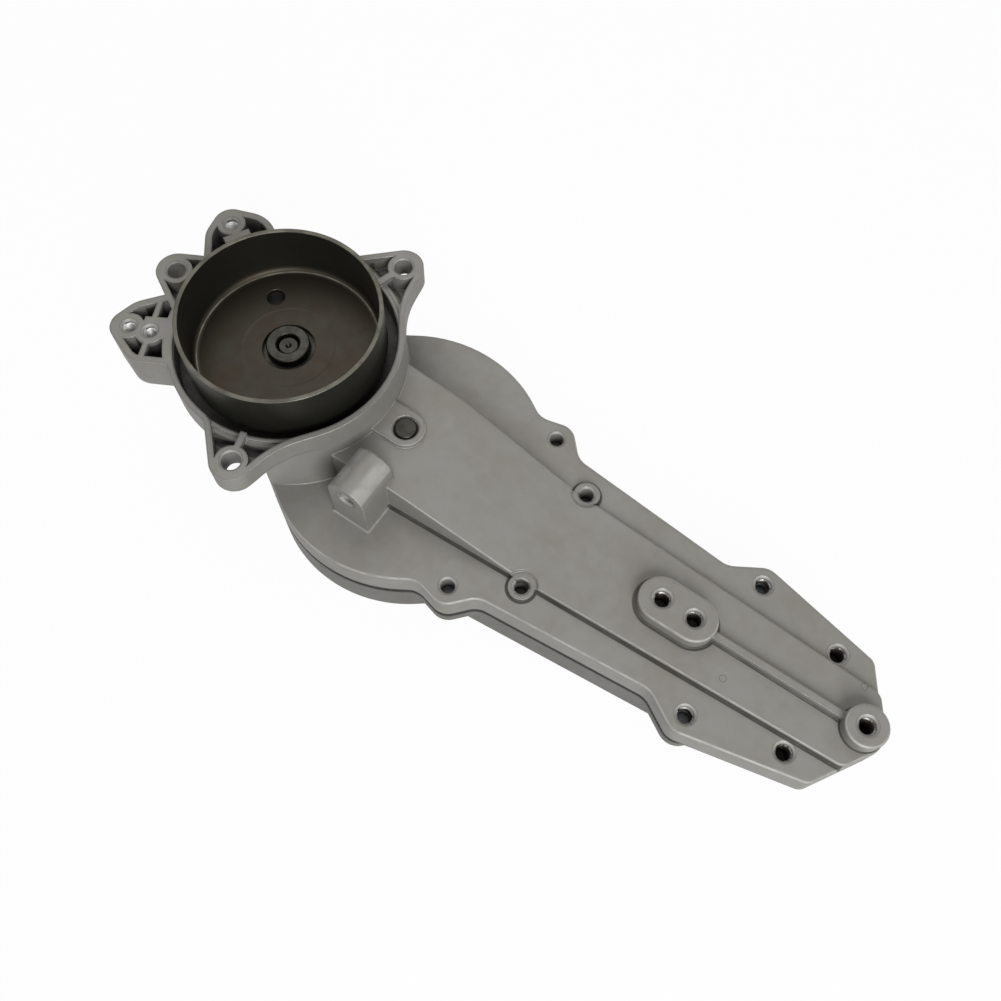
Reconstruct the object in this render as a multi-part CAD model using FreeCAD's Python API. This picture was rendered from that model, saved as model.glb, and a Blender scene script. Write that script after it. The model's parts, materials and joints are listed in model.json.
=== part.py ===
import FreeCAD, Part
import collections
import math
import os

# Gearbox of a hedge trimmer: a die-cast case with a clutch housing at one end and a
# blade flange at the other, closed from below by a cover. Millimetres, +Z up towards
# the engine, +X towards the blades. The origin is on the clutch shaft's axis, in the
# face that the engine bolts to.

# Clutch drum
DRUM_BORE = 76.0
DRUM_WALL = 1.6
DRUM_STAND_OUT = 16.8
DRUM_DEPTH = 23.5
DRUM_FLOOR = 2.0
DRUM_EDGE = 2.8
DRUM_HUB_HOLE = 21.0
DRUM_ACCESS_HOLE = 7.4
DRUM_ACCESS_RADIUS = 25.0
DRUM_ACCESS_ANGLE = 141.0
HUB_NECK = 17.4
HUB_RISE = 2.6
HUB_FLANGE = 34.0
HUB_FLANGE_THICK = 2.3
HUB_FOOT = 19.0

# Clutch housing, the round part of the case
HOUSING_BORE = 88.0
HOUSING_WALL = 2.6
HOUSING_SKIRT_GROWTH = 1.4
HOUSING_DEPTH = 12.0
HOUSING_FLOOR = 4.0
HOUSING_EDGE = 1.0
HOUSING_UNDER_EDGE = 3.5

# Engine flange lugs
LUG_ANGLES = (180.0, 72.0, -72.0)
LUG_RADIUS = 56.6
LUG_TIP = 8.3
LUG_SIDE_ANGLE = 62.0
LUG_MEET_ANGLE = 24.0
LUG_BLEND = 7.0
LUG_BROAD_MEET_ANGLE = 36.0
LUG_BROAD_BLEND = 36.0
LUG_THICK = 9.5
LUG_HOLE = 7.4
LUG_HOLE_CHAMFER = 0.6
LUG_BOSS = 12.6
LUG_RIM = 2.4
LUG_LEDGE = 3.5
LUG_BORE_LIP = 1.6
LUG_BORE_LIP_DROP = 2.2
LUG_POCKET = 7.2
LUG_POCKET_START = 47.5
LUG_RIB = 2.4

# Ears beside the rear lug
EAR_X = -54.0
EAR_Y = 30.8
EAR_TIP = 7.5
EAR_THICK = 17.0
EAR_FLOOR = 2.0
EAR_WALL = 2.8
EAR_LUG_ANGLE = 218.0
EAR_LUG_OFFSET = 34.0
EAR_REAR_ANGLE = 192.0
EAR_TOP_ANGLE = 109.7
EAR_LUG_CORNER = 12.0
EAR_SINGLE_CORNER = 14.0
EAR_SINGLE_FRONT_ANGLE = 53.0
EAR_SINGLE_FRONT_OFFSET = 8.3
EAR_DOUBLE_CORNER = 9.0
EAR_DOUBLE_FRONT_ANGLE = 62.0
EAR_DOUBLE_FRONT_OFFSET = 17.8
EAR_BOSS = 11.6
EAR_THREAD = 5.0
EAR_SECOND_X = -45.6
EAR_SECOND_Y = -28.0
EAR_WEB_SINGLE = 11.0
EAR_WEB_DOUBLE = 9.6
EAR_CROSS_RIB = 2.1
EAR_CROSS_ANGLE = -65.0

# Case plate, its outline and its side walls
PLATE_DROP = 33.5
CASE_SIDE = 12.0
CASE_ROOF = 4.5
CASE_WALL = 5.0
CASE_TOP_EDGE = 1.2
GEAR_ROOM = 56.5
PINION_ROOM = 26.0
ARC_END_ANGLE = 57.0
BODY_ARC_END_ANGLE = 52.0
VALLEY_BLEND = 9.0
LOBE_TIP = 7.7
LOBE_REAR_ANGLE = 104.0
LOBE_FRONT_ANGLE = 42.0
SIDE_ANGLE = 85.0
SIDE_X = 120.0
SIDE_Y = 36.3
RAMP_ANGLE = 121.0
FLANGE_SIDE_ANGLE = 77.7
FLANGE_END_ANGLE = 32.3
FLANGE_CORNER = 5.0
END_TIP = 9.3

# Holes of the plate
LOBE_X = 104.3
LOBE_Y = 39.0
PILLAR_X = 128.3
PILLAR_Y = 23.8
SIDE_BOLT_X = 205.4
SIDE_BOLT_Y = 30.6
END_BOLT_X = 241.9
END_BOLT_Y = 22.2
TWIN_BOSS_X = 176.0
TWIN_BOSS_PITCH = 14.0
TIP_BOSS_X = 261.2
REAR_SCREW_X = -15.0
REAR_SCREW_Y = 30.5
BLADE_THREAD = 6.6
COVER_THREAD = 5.6
BLADE_THREAD_DEPTH = 6.2
END_THREAD_DEPTH = 10.4
THREAD_CHAMFER = 0.9

# Raised wedge along the plate's middle
WEDGE_HIGH = 17.0
WEDGE_LOW = 3.2
WEDGE_HALF_WIDTH = 27.3
WEDGE_TAPER = 0.0426
WEDGE_SLOPE_START = 66.0
WEDGE_SLOPE_END = 124.0
WEDGE_BLEND = 60.0
WEDGE_END_GAP = 0.4
WEDGE_TIP = 5.0
WEDGE_SHOULDER = 0.8

# Bosses and rib on the wedge
TWIN_BOSS_TIP = 9.3
TWIN_BOSS_RISE = 6.0
TWIN_THREAD_DEPTH = 11.5
TIP_BOSS_OUTER = 8.3
TIP_BOSS_RISE = 6.6
BOSS_EDGE = 1.2
BOSS_FOOT = 1.0
RIB_WIDTH = 3.0
RIB_RISE = 3.0
PILLAR_BOSS_OUTER = 5.3
PILLAR_BOSS_RISE = 1.8
PILLAR_RELIEF = 1.0
AXLE_BOSS_TIP = 8.0
AXLE_BOSS_RISE = 2.0

# Half-round side boss with a tapped hole
SIDE_BOSS_RADIUS = 8.5
SIDE_BOSS_FRONT = -38.4
SIDE_BOSS_BACK = -19.4
SIDE_BOSS_AXIS = 19.6
SIDE_BOSS_THREAD = 6.8
SIDE_BOSS_THREAD_DEPTH = 14.0

# Bottom cover and its gasket
GASKET_THICK = 1.0
GASKET_INSET = 1.3
COVER_DEPTH = 18.0
COVER_FLOOR = 4.0
COVER_WALL = 4.6
COVER_LOBE = 6.0
COVER_EDGE = 2.5
COVER_END_BACK = 4.5
COVER_BLEND = 16.0
PILLAR_OUTER = 7.2
SCREW_POST_WALL = 2.4

# Cover screws and dowels
SCREW_HEAD = 9.4
SCREW_HEAD_HEIGHT = 5.0
SCREW_SOCKET = 4.6
SCREW_SOCKET_DEPTH = 2.8
SCREW_SOCKET_SIDES = 6
SCREW_REACH = 5.2
SCREW_HOLE_ROOM = 0.3
HEAD_ROOM = 0.6
DOWEL_X = 146.0
DOWEL_Y = 31.4
DOWEL_DIAMETER = 3.0
DOWEL_LENGTH = 10.0

# Gear pair
MODULE = 1.5
PINION_TEETH = 13
CRANK_TEETH = 63
PRESSURE_ANGLE = 20.0
PROFILE_SHIFT = 0.3
ADDENDUM = 1.0
DEDENDUM = 1.25
TIP_CUT = 0.12
BACKLASH = 0.16
GEAR_WIDTH = 8.0
PINION_EXTRA = 1.2
GEAR_RIM = 4.6
GEAR_WEB = 4.0
GEAR_WEB_HOLE = 10.0
GEAR_WEB_HOLES = 6
GEAR_HUB = 30.0

# Crank: two round cams, half a turn apart, on one hub
CAM_THROW = 8.5
CAM_DIAMETER = 38.0
CAM_HUB = 19.0
CRANK_PIN_HOLE = 4.0
CRANK_PIN_ANGLES = (90.0, 0.0, -90.0)
CRANK_PIN_RADIUS = 12.2

# Connecting rods
ROD_THICK = 5.0
ROD_SIDE_ROOM = 0.35
ROD_BUSH_WALL = 1.5
ROD_RING_WALL = 4.0
ROD_LENGTH = 110.0
ROD_EYE = 8.5
ROD_EYE_HOLE = 8.0
ROD_BAR_AT_RING = 16.0
ROD_BAR_AT_EYE = 12.0

# Crank axle and its washers
AXLE_DIAMETER = 10.0
AXLE_TIP = 9.0
AXLE_RECESS = 10.8
AXLE_RECESS_DEPTH = 1.4
AXLE_BUSH_WALL = 1.6
AXLE_FOOT = 2.2
AXLE_HANG_BOSS = 9.5
WASHER_THICK = 0.8
WASHER_OUTER = 17.0
END_PLAY = 0.3

# Ball bearing above the pinion
UPPER_BEARING_BORE = 15.0
UPPER_BEARING_OUTER = 35.0
UPPER_BEARING_WIDTH = 11.0
UPPER_BEARING_BALL = 6.0
UPPER_BEARING_PITCH = 25.0

# Ball bearing below the pinion
LOWER_BEARING_BORE = 12.0
LOWER_BEARING_OUTER = 28.0
LOWER_BEARING_WIDTH = 8.0
LOWER_BEARING_BALL = 4.6
LOWER_BEARING_PITCH = 20.0

# Inside of both bearings, their seats, the seal and the pinion shaft
BEARING_BALLS = 8
RACE_LAND = 0.42
RACE_ROOM = 0.06
CAGE_WALL = 1.0
CAGE_ROOM = 0.2
CAGE_CLAW = 0.12
CIRCLIP_THICK = 1.4
CIRCLIP_BITE = 1.3
CIRCLIP_WIDTH = 2.6
CIRCLIP_GAP = 40.0
BEARING_BOSS_WALL = 4.6
BEARING_SHOULDER = 2.0
BEARING_LIP = 1.0
LOWER_BEARING_LIFT = 1.0
SEAL_OUTER = 28.0
SEAL_THICK = 6.0
SEAL_LIP_LIFT = 1.5
SHAFT_STUD = 9.0
SHAFT_STUD_BELOW = 1.6
SHAFT_CENTRE_HOLE = 2.6
SHAFT_NECK = 13.0
SHAFT_COLLAR = 14.6

# Clearances, and the small chamfer on every turned part
RUN_ROOM = 0.05
SEAT_ROOM = 0.02
TURNED_EDGE = 0.45

# Sizes and heights worked out from the sizes above
Bearing = collections.namedtuple("Bearing", "bore outside width ball pitch")
UPPER_BEARING = Bearing(UPPER_BEARING_BORE, UPPER_BEARING_OUTER, UPPER_BEARING_WIDTH,
                        UPPER_BEARING_BALL, UPPER_BEARING_PITCH)
LOWER_BEARING = Bearing(LOWER_BEARING_BORE, LOWER_BEARING_OUTER, LOWER_BEARING_WIDTH,
                        LOWER_BEARING_BALL, LOWER_BEARING_PITCH)
SCREW_SHANK = COVER_THREAD - 2 * SEAT_ROOM
HEAD_RECESS = SCREW_HEAD + 2 * HEAD_ROOM
GEAR_X = MODULE * (PINION_TEETH + CRANK_TEETH) / 2
HOUSING_INNER = HOUSING_BORE / 2
HOUSING_OUTER = HOUSING_INNER + HOUSING_WALL
HOUSING_SKIRT = HOUSING_OUTER + HOUSING_SKIRT_GROWTH
HOUSING_FLOOR_Z = -HOUSING_DEPTH
HOUSING_UNDER_Z = HOUSING_FLOOR_Z - HOUSING_FLOOR
PLATE_Z = -PLATE_DROP
ROOF_Z = PLATE_Z - CASE_ROOF
PARTING_Z = PLATE_Z - CASE_SIDE
COVER_TOP_Z = PARTING_Z - GASKET_THICK
COVER_LOBE_Z = COVER_TOP_Z - COVER_LOBE
COVER_BOTTOM_Z = COVER_TOP_Z - COVER_DEPTH
COVER_FLOOR_Z = COVER_BOTTOM_Z + COVER_FLOOR
COVER_END_X = SIDE_BOLT_X - COVER_END_BACK
WEDGE_TOP_Z = PLATE_Z + WEDGE_HIGH
WEDGE_LOW_Z = PLATE_Z + WEDGE_LOW
AXLE_BOSS_Z = WEDGE_TOP_Z + AXLE_BOSS_RISE
SIDE_BOSS_Z = PLATE_Z + SIDE_BOSS_AXIS
CAM_THICK = ROD_THICK + 2 * ROD_SIDE_ROOM
CRANK_BOTTOM_Z = COVER_FLOOR_Z + WASHER_THICK + END_PLAY
LOWER_CAM_TOP_Z = CRANK_BOTTOM_Z + CAM_THICK
GEAR_BOTTOM_Z = LOWER_CAM_TOP_Z + CAM_THICK
GEAR_TOP_Z = GEAR_BOTTOM_Z + GEAR_WIDTH
TOP_WASHER_Z = GEAR_TOP_Z + END_PLAY
HANG_BOSS_Z = TOP_WASHER_Z + WASHER_THICK
DRUM_TOP_Z = DRUM_STAND_OUT
DRUM_FLOOR_Z = DRUM_TOP_Z - DRUM_DEPTH
DRUM_UNDER_Z = DRUM_FLOOR_Z - DRUM_FLOOR
HUB_TOP_Z = DRUM_FLOOR_Z + HUB_RISE
UPPER_BEARING_TOP_Z = HOUSING_FLOOR_Z - BEARING_LIP - CIRCLIP_THICK
UPPER_BEARING_Z = UPPER_BEARING_TOP_Z - UPPER_BEARING_WIDTH
LOWER_BEARING_Z = COVER_FLOOR_Z + LOWER_BEARING_LIFT
LOWER_BEARING_TOP_Z = LOWER_BEARING_Z + LOWER_BEARING_WIDTH
SEAL_TOP_Z = UPPER_BEARING_Z - BEARING_SHOULDER
BEARING_BOSS_Z = SEAL_TOP_Z - SEAL_THICK

# How far a cut runs past a face, and the distance below which two places are the same
RUN_PAST = 1.0
SAME = 0.001

# Directions in a plane
RIGHT = 0.0
UP = 90.0
LEFT = 180.0
DOWN = -90.0
QUARTER_TURN = 90.0
HALF_TURN = 180.0
FULL_TURN = 360.0


# Plane geometry. An outline is a ring of straight sides, taken clockwise. Each side has its
# outward angle, its distance from the origin, and the radius of the corner after it.
Side = collections.namedtuple("Side", "angle offset corner")


def unit(angle):
    turn = math.radians(angle)
    return math.cos(turn), math.sin(turn)


def side_on_circle(x, y, radius, angle, corner):
    nx, ny = unit(angle)
    return Side(angle, x * nx + y * ny + radius, corner)


def side_through(x, y, angle, corner):
    return side_on_circle(x, y, 0.0, angle, corner)


def turn_between(first, second):
    return (second.angle - first.angle + HALF_TURN) % FULL_TURN - HALF_TURN


def meeting_point(first, second):
    ax, ay = unit(first.angle)
    bx, by = unit(second.angle)
    det = ax * by - ay * bx
    x = (first.offset * by - second.offset * ay) / det
    y = (ax * second.offset - bx * first.offset) / det
    return x, y


def inset(sides, depth):
    moved = []
    for index, side in enumerate(sides):
        following = sides[(index + 1) % len(sides)]
        convex = turn_between(side, following) < 0
        corner = side.corner - depth if convex else side.corner + depth
        moved.append(Side(side.angle, side.offset - depth, max(corner, 0.0)))
    return moved


def corner_arc(first, second):
    # Start, middle and end of the arc that rounds the corner after the first side.
    x, y = meeting_point(first, second)
    turn = turn_between(first, second)
    reach = first.corner * math.tan(math.radians(abs(turn)) / 2)
    ax, ay = unit(first.angle - QUARTER_TURN)
    bx, by = unit(second.angle - QUARTER_TURN)
    start = (x - reach * ax, y - reach * ay)
    end = (x + reach * bx, y + reach * by)
    if first.corner < SAME:
        return start, None, end
    inward = -first.corner if turn < 0 else first.corner
    nx, ny = unit(first.angle)
    mx, my = unit(first.angle + turn / 2)
    middle = (start[0] + inward * (nx - mx), start[1] + inward * (ny - my))
    return start, middle, end


def point(place, z=0.0):
    return FreeCAD.Vector(place[0], place[1], z)


def line(start, end):
    return Part.LineSegment(start, end).toShape()


def arc(start, middle, end):
    return Part.Arc(start, middle, end).toShape()


def outline_wire(sides, z):
    arcs = [corner_arc(sides[index - 1], side) for index, side in enumerate(sides)]
    edges = []
    for index, (start, middle, end) in enumerate(arcs):
        if middle is not None:
            edges.append(arc(point(start, z), point(middle, z), point(end, z)))
        following = arcs[(index + 1) % len(arcs)][0]
        if math.dist(end, following) > SAME:
            edges.append(line(point(end, z), point(following, z)))
    return Part.Wire(edges)


# Solids
def prism(sides, low, high):
    return Part.Face(outline_wire(sides, low)).extrude(FreeCAD.Vector(0, 0, high - low))


def column(x, y, radius, low, high):
    return Part.makeCylinder(radius, high - low, FreeCAD.Vector(x, y, low))


def ring(x, y, inner, outer, low, high):
    return column(x, y, outer, low, high).cut(column(x, y, inner, low, high))


def block(x_low, x_high, y_low, y_high, low, high):
    return Part.makeBox(x_high - x_low, y_high - y_low, high - low, FreeCAD.Vector(x_low, y_low, low))


def turned(profile, x=0.0, y=0.0):
    points = [FreeCAD.Vector(radius, 0, z) for radius, z in profile]
    face = Part.Face(Part.makePolygon(points + points[:1]))
    solid = face.revolve(FreeCAD.Vector(0, 0, 0), FreeCAD.Vector(0, 0, 1), FULL_TURN)
    solid.translate(FreeCAD.Vector(x, y, 0))
    return solid


def fused(shapes):
    return shapes[0].fuse(shapes[1:]).removeSplitter()


def without(solid, tools):
    return solid.cut(tools).removeSplitter()


def mirrored(solid):
    return solid.mirror(FreeCAD.Vector(0, 0, 0), FreeCAD.Vector(0, 1, 0))


def turned_about_z(solid, angle, x=0.0, y=0.0):
    copy = solid.copy()
    copy.rotate(FreeCAD.Vector(x, y, 0), FreeCAD.Vector(0, 0, 1), angle)
    return copy


def both_sides(x, y):
    return (x, y), (x, -y)


def flat_edges_at(solid, z):
    return [edge for edge in solid.Edges
            if abs(edge.BoundBox.ZMin - z) < SAME and abs(edge.BoundBox.ZMax - z) < SAME]


def rounded_at(solid, z, radius):
    return solid.makeFillet(radius, flat_edges_at(solid, z))


def with_fillet(solid, z, low, high):
    # A fillet along the level edges at z whose middles lie between two places in plan.
    foot = [edge for edge in flat_edges_at(solid, z)
            if low.x - SAME < edge.CenterOfMass.x < high.x + SAME
            and low.y - SAME < edge.CenterOfMass.y < high.y + SAME]
    return solid.makeFillet(BOSS_FOOT, foot)


def threaded_hole(x, y, diameter, mouth_z, end_z):
    # A core hole with a short chamfer at its mouth, which is its upper end.
    radius = diameter / 2
    mouth = Part.makeCone(radius, radius + THREAD_CHAMFER, THREAD_CHAMFER,
                          FreeCAD.Vector(x, y, mouth_z - THREAD_CHAMFER))
    return fused([column(x, y, radius, end_z, mouth_z), mouth])


def single(shape):
    # One solid out of a boolean's result, the largest where slivers are left over.
    return max(shape.Solids, key=lambda solid: solid.Volume)


# Outlines of the case
def half_outline(with_lobes):
    phi = math.degrees(math.asin((GEAR_ROOM - PINION_ROOM) / GEAR_X))
    sides = [side_on_circle(0, 0, PINION_ROOM, UP + phi, GEAR_ROOM)]
    if with_lobes:
        sides.append(side_on_circle(GEAR_X, 0, GEAR_ROOM, ARC_END_ANGLE, VALLEY_BLEND))
        sides.append(side_on_circle(LOBE_X, LOBE_Y, LOBE_TIP, LOBE_REAR_ANGLE, LOBE_TIP))
        sides.append(side_on_circle(LOBE_X, LOBE_Y, LOBE_TIP, LOBE_FRONT_ANGLE, VALLEY_BLEND))
        sides.append(side_through(SIDE_X, SIDE_Y, SIDE_ANGLE, VALLEY_BLEND))
        sides.append(side_on_circle(SIDE_BOLT_X, SIDE_BOLT_Y, LOBE_TIP, RAMP_ANGLE, LOBE_TIP))
    else:
        sides.append(side_on_circle(GEAR_X, 0, GEAR_ROOM, BODY_ARC_END_ANGLE, COVER_BLEND))
        sides.append(side_through(SIDE_X, SIDE_Y, SIDE_ANGLE, 0.0))
    return sides


def flange_end():
    return [side_on_circle(SIDE_BOLT_X, SIDE_BOLT_Y, LOBE_TIP, FLANGE_SIDE_ANGLE, FLANGE_CORNER),
            side_on_circle(TIP_BOSS_X, 0, END_TIP, FLANGE_END_ANGLE, END_TIP)]


def closed_outline(upper, end):
    # The upper sides again below the axis, where each one comes before its corner.
    rear = Side(LEFT, PINION_ROOM, PINION_ROOM)
    corners = [rear.corner] + [side.corner for side in upper[:-1]]
    lower = [Side(-side.angle, side.offset, corner) for side, corner in zip(upper, corners)]
    return [rear] + upper + end + lower[::-1]


def case_outline():
    return closed_outline(half_outline(True) + flange_end(), [])


def lobed_cover_outline():
    end = side_on_circle(SIDE_BOLT_X, SIDE_BOLT_Y, LOBE_TIP, RIGHT, LOBE_TIP)
    return closed_outline(half_outline(True), [end])


def body_outline(end_x):
    return closed_outline(half_outline(False), [Side(RIGHT, end_x, 0.0)])


def cover_room_outline():
    # Runs on past the cover's end, which stays open.
    return inset(body_outline(TIP_BOSS_X), COVER_WALL)


def wedge_outline(growth):
    angle = UP - math.degrees(math.atan(WEDGE_TAPER))
    side = side_through(0, WEDGE_HALF_WIDTH + growth, angle, WEDGE_TIP)
    tip = side_on_circle(TIP_BOSS_X, 0, END_TIP - WEDGE_END_GAP + growth, FLANGE_END_ANGLE, END_TIP)
    rear = Side(LEFT, -HOUSING_INNER / 2, 0.0)
    return [rear, side, tip, Side(-tip.angle, tip.offset, WEDGE_TIP), Side(-side.angle, side.offset, 0.0)]


def flange_outline():
    sides = []
    for angle in LUG_ANGLES:
        x, y = lug_place(angle)
        meet_before, blend_before = lug_root(angle, 1)
        meet_after, blend_after = lug_root(angle, -1)
        sides.append(side_on_circle(0, 0, HOUSING_OUTER, angle + meet_before, blend_before))
        sides.append(side_on_circle(x, y, LUG_TIP, angle + LUG_SIDE_ANGLE, LUG_TIP))
        sides.append(side_on_circle(x, y, LUG_TIP, angle - LUG_SIDE_ANGLE, blend_after))
        sides.append(side_on_circle(0, 0, HOUSING_OUTER, angle - meet_after, HOUSING_OUTER))
    return sides


def lug_root(angle, turn):
    # A lug's root is broad on the side that faces the gears.
    towards_gears = unit(angle + turn * QUARTER_TURN)[0]
    if towards_gears > SAME:
        return LUG_BROAD_MEET_ANGLE, LUG_BROAD_BLEND
    return LUG_MEET_ANGLE, LUG_BLEND


def ear_outline(front, corner):
    return [Side(EAR_LUG_ANGLE, EAR_LUG_OFFSET, EAR_LUG_CORNER),
            side_on_circle(EAR_X, EAR_Y, EAR_TIP, EAR_REAR_ANGLE, EAR_TIP),
            side_on_circle(EAR_X, EAR_Y, EAR_TIP, EAR_TOP_ANGLE, corner),
            front,
            side_through(EAR_X / 2, EAR_Y / 2, front.angle - QUARTER_TURN, 0.0)]


# Clutch housing with its lugs and ears
def lug_place(angle):
    nx, ny = unit(angle)
    return LUG_RADIUS * nx, LUG_RADIUS * ny


def radial_bar(angle, start, end, width, low, high):
    bar = block(start, end, -width / 2, width / 2, low, high)
    return turned_about_z(bar, angle)


def lug_pockets():
    floor = inset(flange_outline(), LUG_RIM)
    solid_parts = []
    for angle in LUG_ANGLES:
        x, y = lug_place(angle)
        solid_parts.append(column(x, y, LUG_BOSS / 2, -LUG_THICK, RUN_PAST))
        solid_parts.append(radial_bar(angle, HOUSING_INNER, LUG_RADIUS, LUG_RIB, -LUG_THICK, RUN_PAST))
    lip = column(0, 0, HOUSING_INNER + LUG_BORE_LIP, -LUG_LEDGE, -LUG_BORE_LIP_DROP)
    ledge = prism(floor, -LUG_LEDGE, RUN_PAST).cut(solid_parts + [lip])
    deep = prism(floor, -LUG_POCKET, RUN_PAST)
    beyond = fused([radial_bar(angle, LUG_POCKET_START, LUG_RADIUS + LUG_TIP, LUG_RADIUS, -LUG_POCKET, RUN_PAST)
                    for angle in LUG_ANGLES])
    return [ledge, deep.common(beyond).cut(solid_parts)]


def ear_pockets(outline, web_width, bosses, ribs):
    hollow = prism(inset(outline, EAR_WALL), EAR_FLOOR - EAR_THICK, RUN_PAST)
    web = radial_bar(math.degrees(math.atan2(EAR_Y, EAR_X)), 0, LUG_RADIUS, web_width, -EAR_THICK, RUN_PAST)
    kept = [web, column(0, 0, HOUSING_OUTER + EAR_WALL / 2, -EAR_THICK, RUN_PAST)]
    kept += [column(x, y, EAR_BOSS / 2, -EAR_THICK, RUN_PAST) for x, y in bosses]
    return hollow.cut(kept + ribs)


def cross_rib():
    reach = EAR_LUG_OFFSET / 2
    rib = radial_bar(-EAR_CROSS_ANGLE, -reach, reach, EAR_CROSS_RIB, -EAR_THICK, RUN_PAST)
    rib.translate(FreeCAD.Vector(EAR_SECOND_X, -EAR_SECOND_Y, 0))
    return rib


def ear(outline, web_width, bosses, ribs):
    plain = rounded_at(prism(outline, -EAR_THICK, 0), -EAR_THICK, HOUSING_EDGE)
    return plain.cut(ear_pockets(outline, web_width, bosses, ribs))


def ears():
    # The double ear has a second hole and is made above the axis, then mirrored.
    first = (EAR_X, EAR_Y)
    second = (EAR_SECOND_X, -EAR_SECOND_Y)
    front = Side(EAR_SINGLE_FRONT_ANGLE, EAR_SINGLE_FRONT_OFFSET, 0.0)
    single_ear = ear(ear_outline(front, EAR_SINGLE_CORNER), EAR_WEB_SINGLE, [first], [])
    front = Side(EAR_DOUBLE_FRONT_ANGLE, EAR_DOUBLE_FRONT_OFFSET, 0.0)
    double_ear = ear(ear_outline(front, EAR_DOUBLE_CORNER), EAR_WEB_DOUBLE, [first, second], [cross_rib()])
    return [single_ear, mirrored(double_ear)]


def ear_holes():
    places = [(EAR_X, EAR_Y), (EAR_X, -EAR_Y), (EAR_SECOND_X, EAR_SECOND_Y)]
    return [threaded_hole(x, y, EAR_THREAD, 0, EAR_FLOOR - EAR_THICK) for x, y in places]


def lug_holes():
    holes = []
    for angle in LUG_ANGLES:
        x, y = lug_place(angle)
        radius = LUG_HOLE / 2
        holes.append(column(x, y, radius, -PLATE_DROP, RUN_PAST))
        holes.append(Part.makeCone(radius, radius + LUG_HOLE_CHAMFER, LUG_HOLE_CHAMFER,
                                   FreeCAD.Vector(x, y, -LUG_HOLE_CHAMFER)))
    return holes


def housing_bowl():
    profile = [(0, HOUSING_UNDER_Z), (HOUSING_OUTER, HOUSING_UNDER_Z), (HOUSING_OUTER, 0), (0, 0)]
    bowl = turned(profile)
    return rounded_at(bowl, HOUSING_UNDER_Z, HOUSING_UNDER_EDGE)


def housing_skirt():
    # The part of the round wall that stands on the case plate, with its casting draft.
    cone = Part.makeCone(HOUSING_SKIRT, HOUSING_OUTER, PLATE_DROP - LUG_THICK, FreeCAD.Vector(0, 0, PLATE_Z))
    return cone.common(prism(case_outline(), PLATE_Z, 0))


def housing():
    lugs = prism(flange_outline(), -LUG_THICK, 0)
    return fused([housing_bowl(), lugs, housing_skirt()] + ears())


# Case plate, wedge and bosses
def wedge_profile():
    # Side view of the wedge: level beside the housing, then a slope, then level again.
    far = TIP_BOSS_X + END_TIP + RUN_PAST
    slope = math.degrees(math.atan2(WEDGE_TOP_Z - WEDGE_LOW_Z, WEDGE_SLOPE_END - WEDGE_SLOPE_START))
    sides = [Side(LEFT, 0.0, 0.0), Side(UP, WEDGE_TOP_Z, WEDGE_BLEND),
             side_through(WEDGE_SLOPE_START, WEDGE_TOP_Z, UP - slope, WEDGE_BLEND),
             Side(UP, WEDGE_LOW_Z, 0.0), Side(RIGHT, far, 0.0), Side(DOWN, RUN_PAST - PLATE_Z, 0.0)]
    body = prism(sides, -GEAR_ROOM, GEAR_ROOM)
    body.rotate(FreeCAD.Vector(0, 0, 0), FreeCAD.Vector(1, 0, 0), QUARTER_TURN)
    return body


def wedge():
    body = wedge_profile().common(prism(wedge_outline(0.0), PLATE_Z - RUN_PAST, 0))
    shoulders = [edge for edge in body.Edges
                 if edge.BoundBox.ZMin > PLATE_Z and edge.BoundBox.XLength > SAME]
    return body.makeFillet(WEDGE_SHOULDER, shoulders)


def wedge_with_bosses():
    # The twin boss and the rib stand on the wedge with a fillet round their foot.
    body = fused([wedge(), twin_boss(), centre_rib()])
    low = FreeCAD.Vector(TWIN_BOSS_X - TWIN_BOSS_TIP, -TWIN_BOSS_TIP, 0)
    high = FreeCAD.Vector(TIP_BOSS_X - RUN_PAST, TWIN_BOSS_TIP, 0)
    return fused([with_fillet(body, WEDGE_LOW_Z, low, high), tip_boss()])


def wedge_hollow():
    # The same wedge, smaller by the wall, as the gear room's raised roof.
    inner = wedge_profile()
    inner.translate(FreeCAD.Vector(0, 0, -CASE_ROOF))
    plan = prism(wedge_outline(-CASE_WALL), PARTING_Z, 0)
    room = block(HOUSING_SKIRT - CASE_WALL, TWIN_BOSS_X - TWIN_BOSS_TIP, -GEAR_ROOM, GEAR_ROOM, PARTING_Z, 0)
    return inner.common(plan).common(room)


def twin_boss():
    tip = TWIN_BOSS_TIP
    left = TWIN_BOSS_X
    right = TWIN_BOSS_X + TWIN_BOSS_PITCH
    sides = [Side(LEFT, tip - left, tip), Side(UP, tip, tip),
             Side(RIGHT, right + tip, tip), Side(DOWN, tip, tip)]
    top = WEDGE_LOW_Z + TWIN_BOSS_RISE
    return rounded_at(prism(sides, PLATE_Z, top), top, BOSS_EDGE)


def tip_boss():
    top = WEDGE_LOW_Z + TIP_BOSS_RISE
    return rounded_at(column(TIP_BOSS_X, 0, TIP_BOSS_OUTER, PLATE_Z, top), top, BOSS_EDGE)


def centre_rib():
    start = TWIN_BOSS_X + TWIN_BOSS_PITCH
    return block(start, TIP_BOSS_X, -RIB_WIDTH / 2, RIB_WIDTH / 2, PLATE_Z, WEDGE_LOW_Z + RIB_RISE)


def axle_boss():
    tip = AXLE_BOSS_TIP
    sides = [Side(LEFT, 0.0, 0.0), Side(UP, tip, tip), Side(RIGHT, GEAR_X + tip, tip), Side(DOWN, tip, 0.0)]
    return rounded_at(prism(sides, PLATE_Z, AXLE_BOSS_Z), AXLE_BOSS_Z, BOSS_EDGE / 2)


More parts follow.
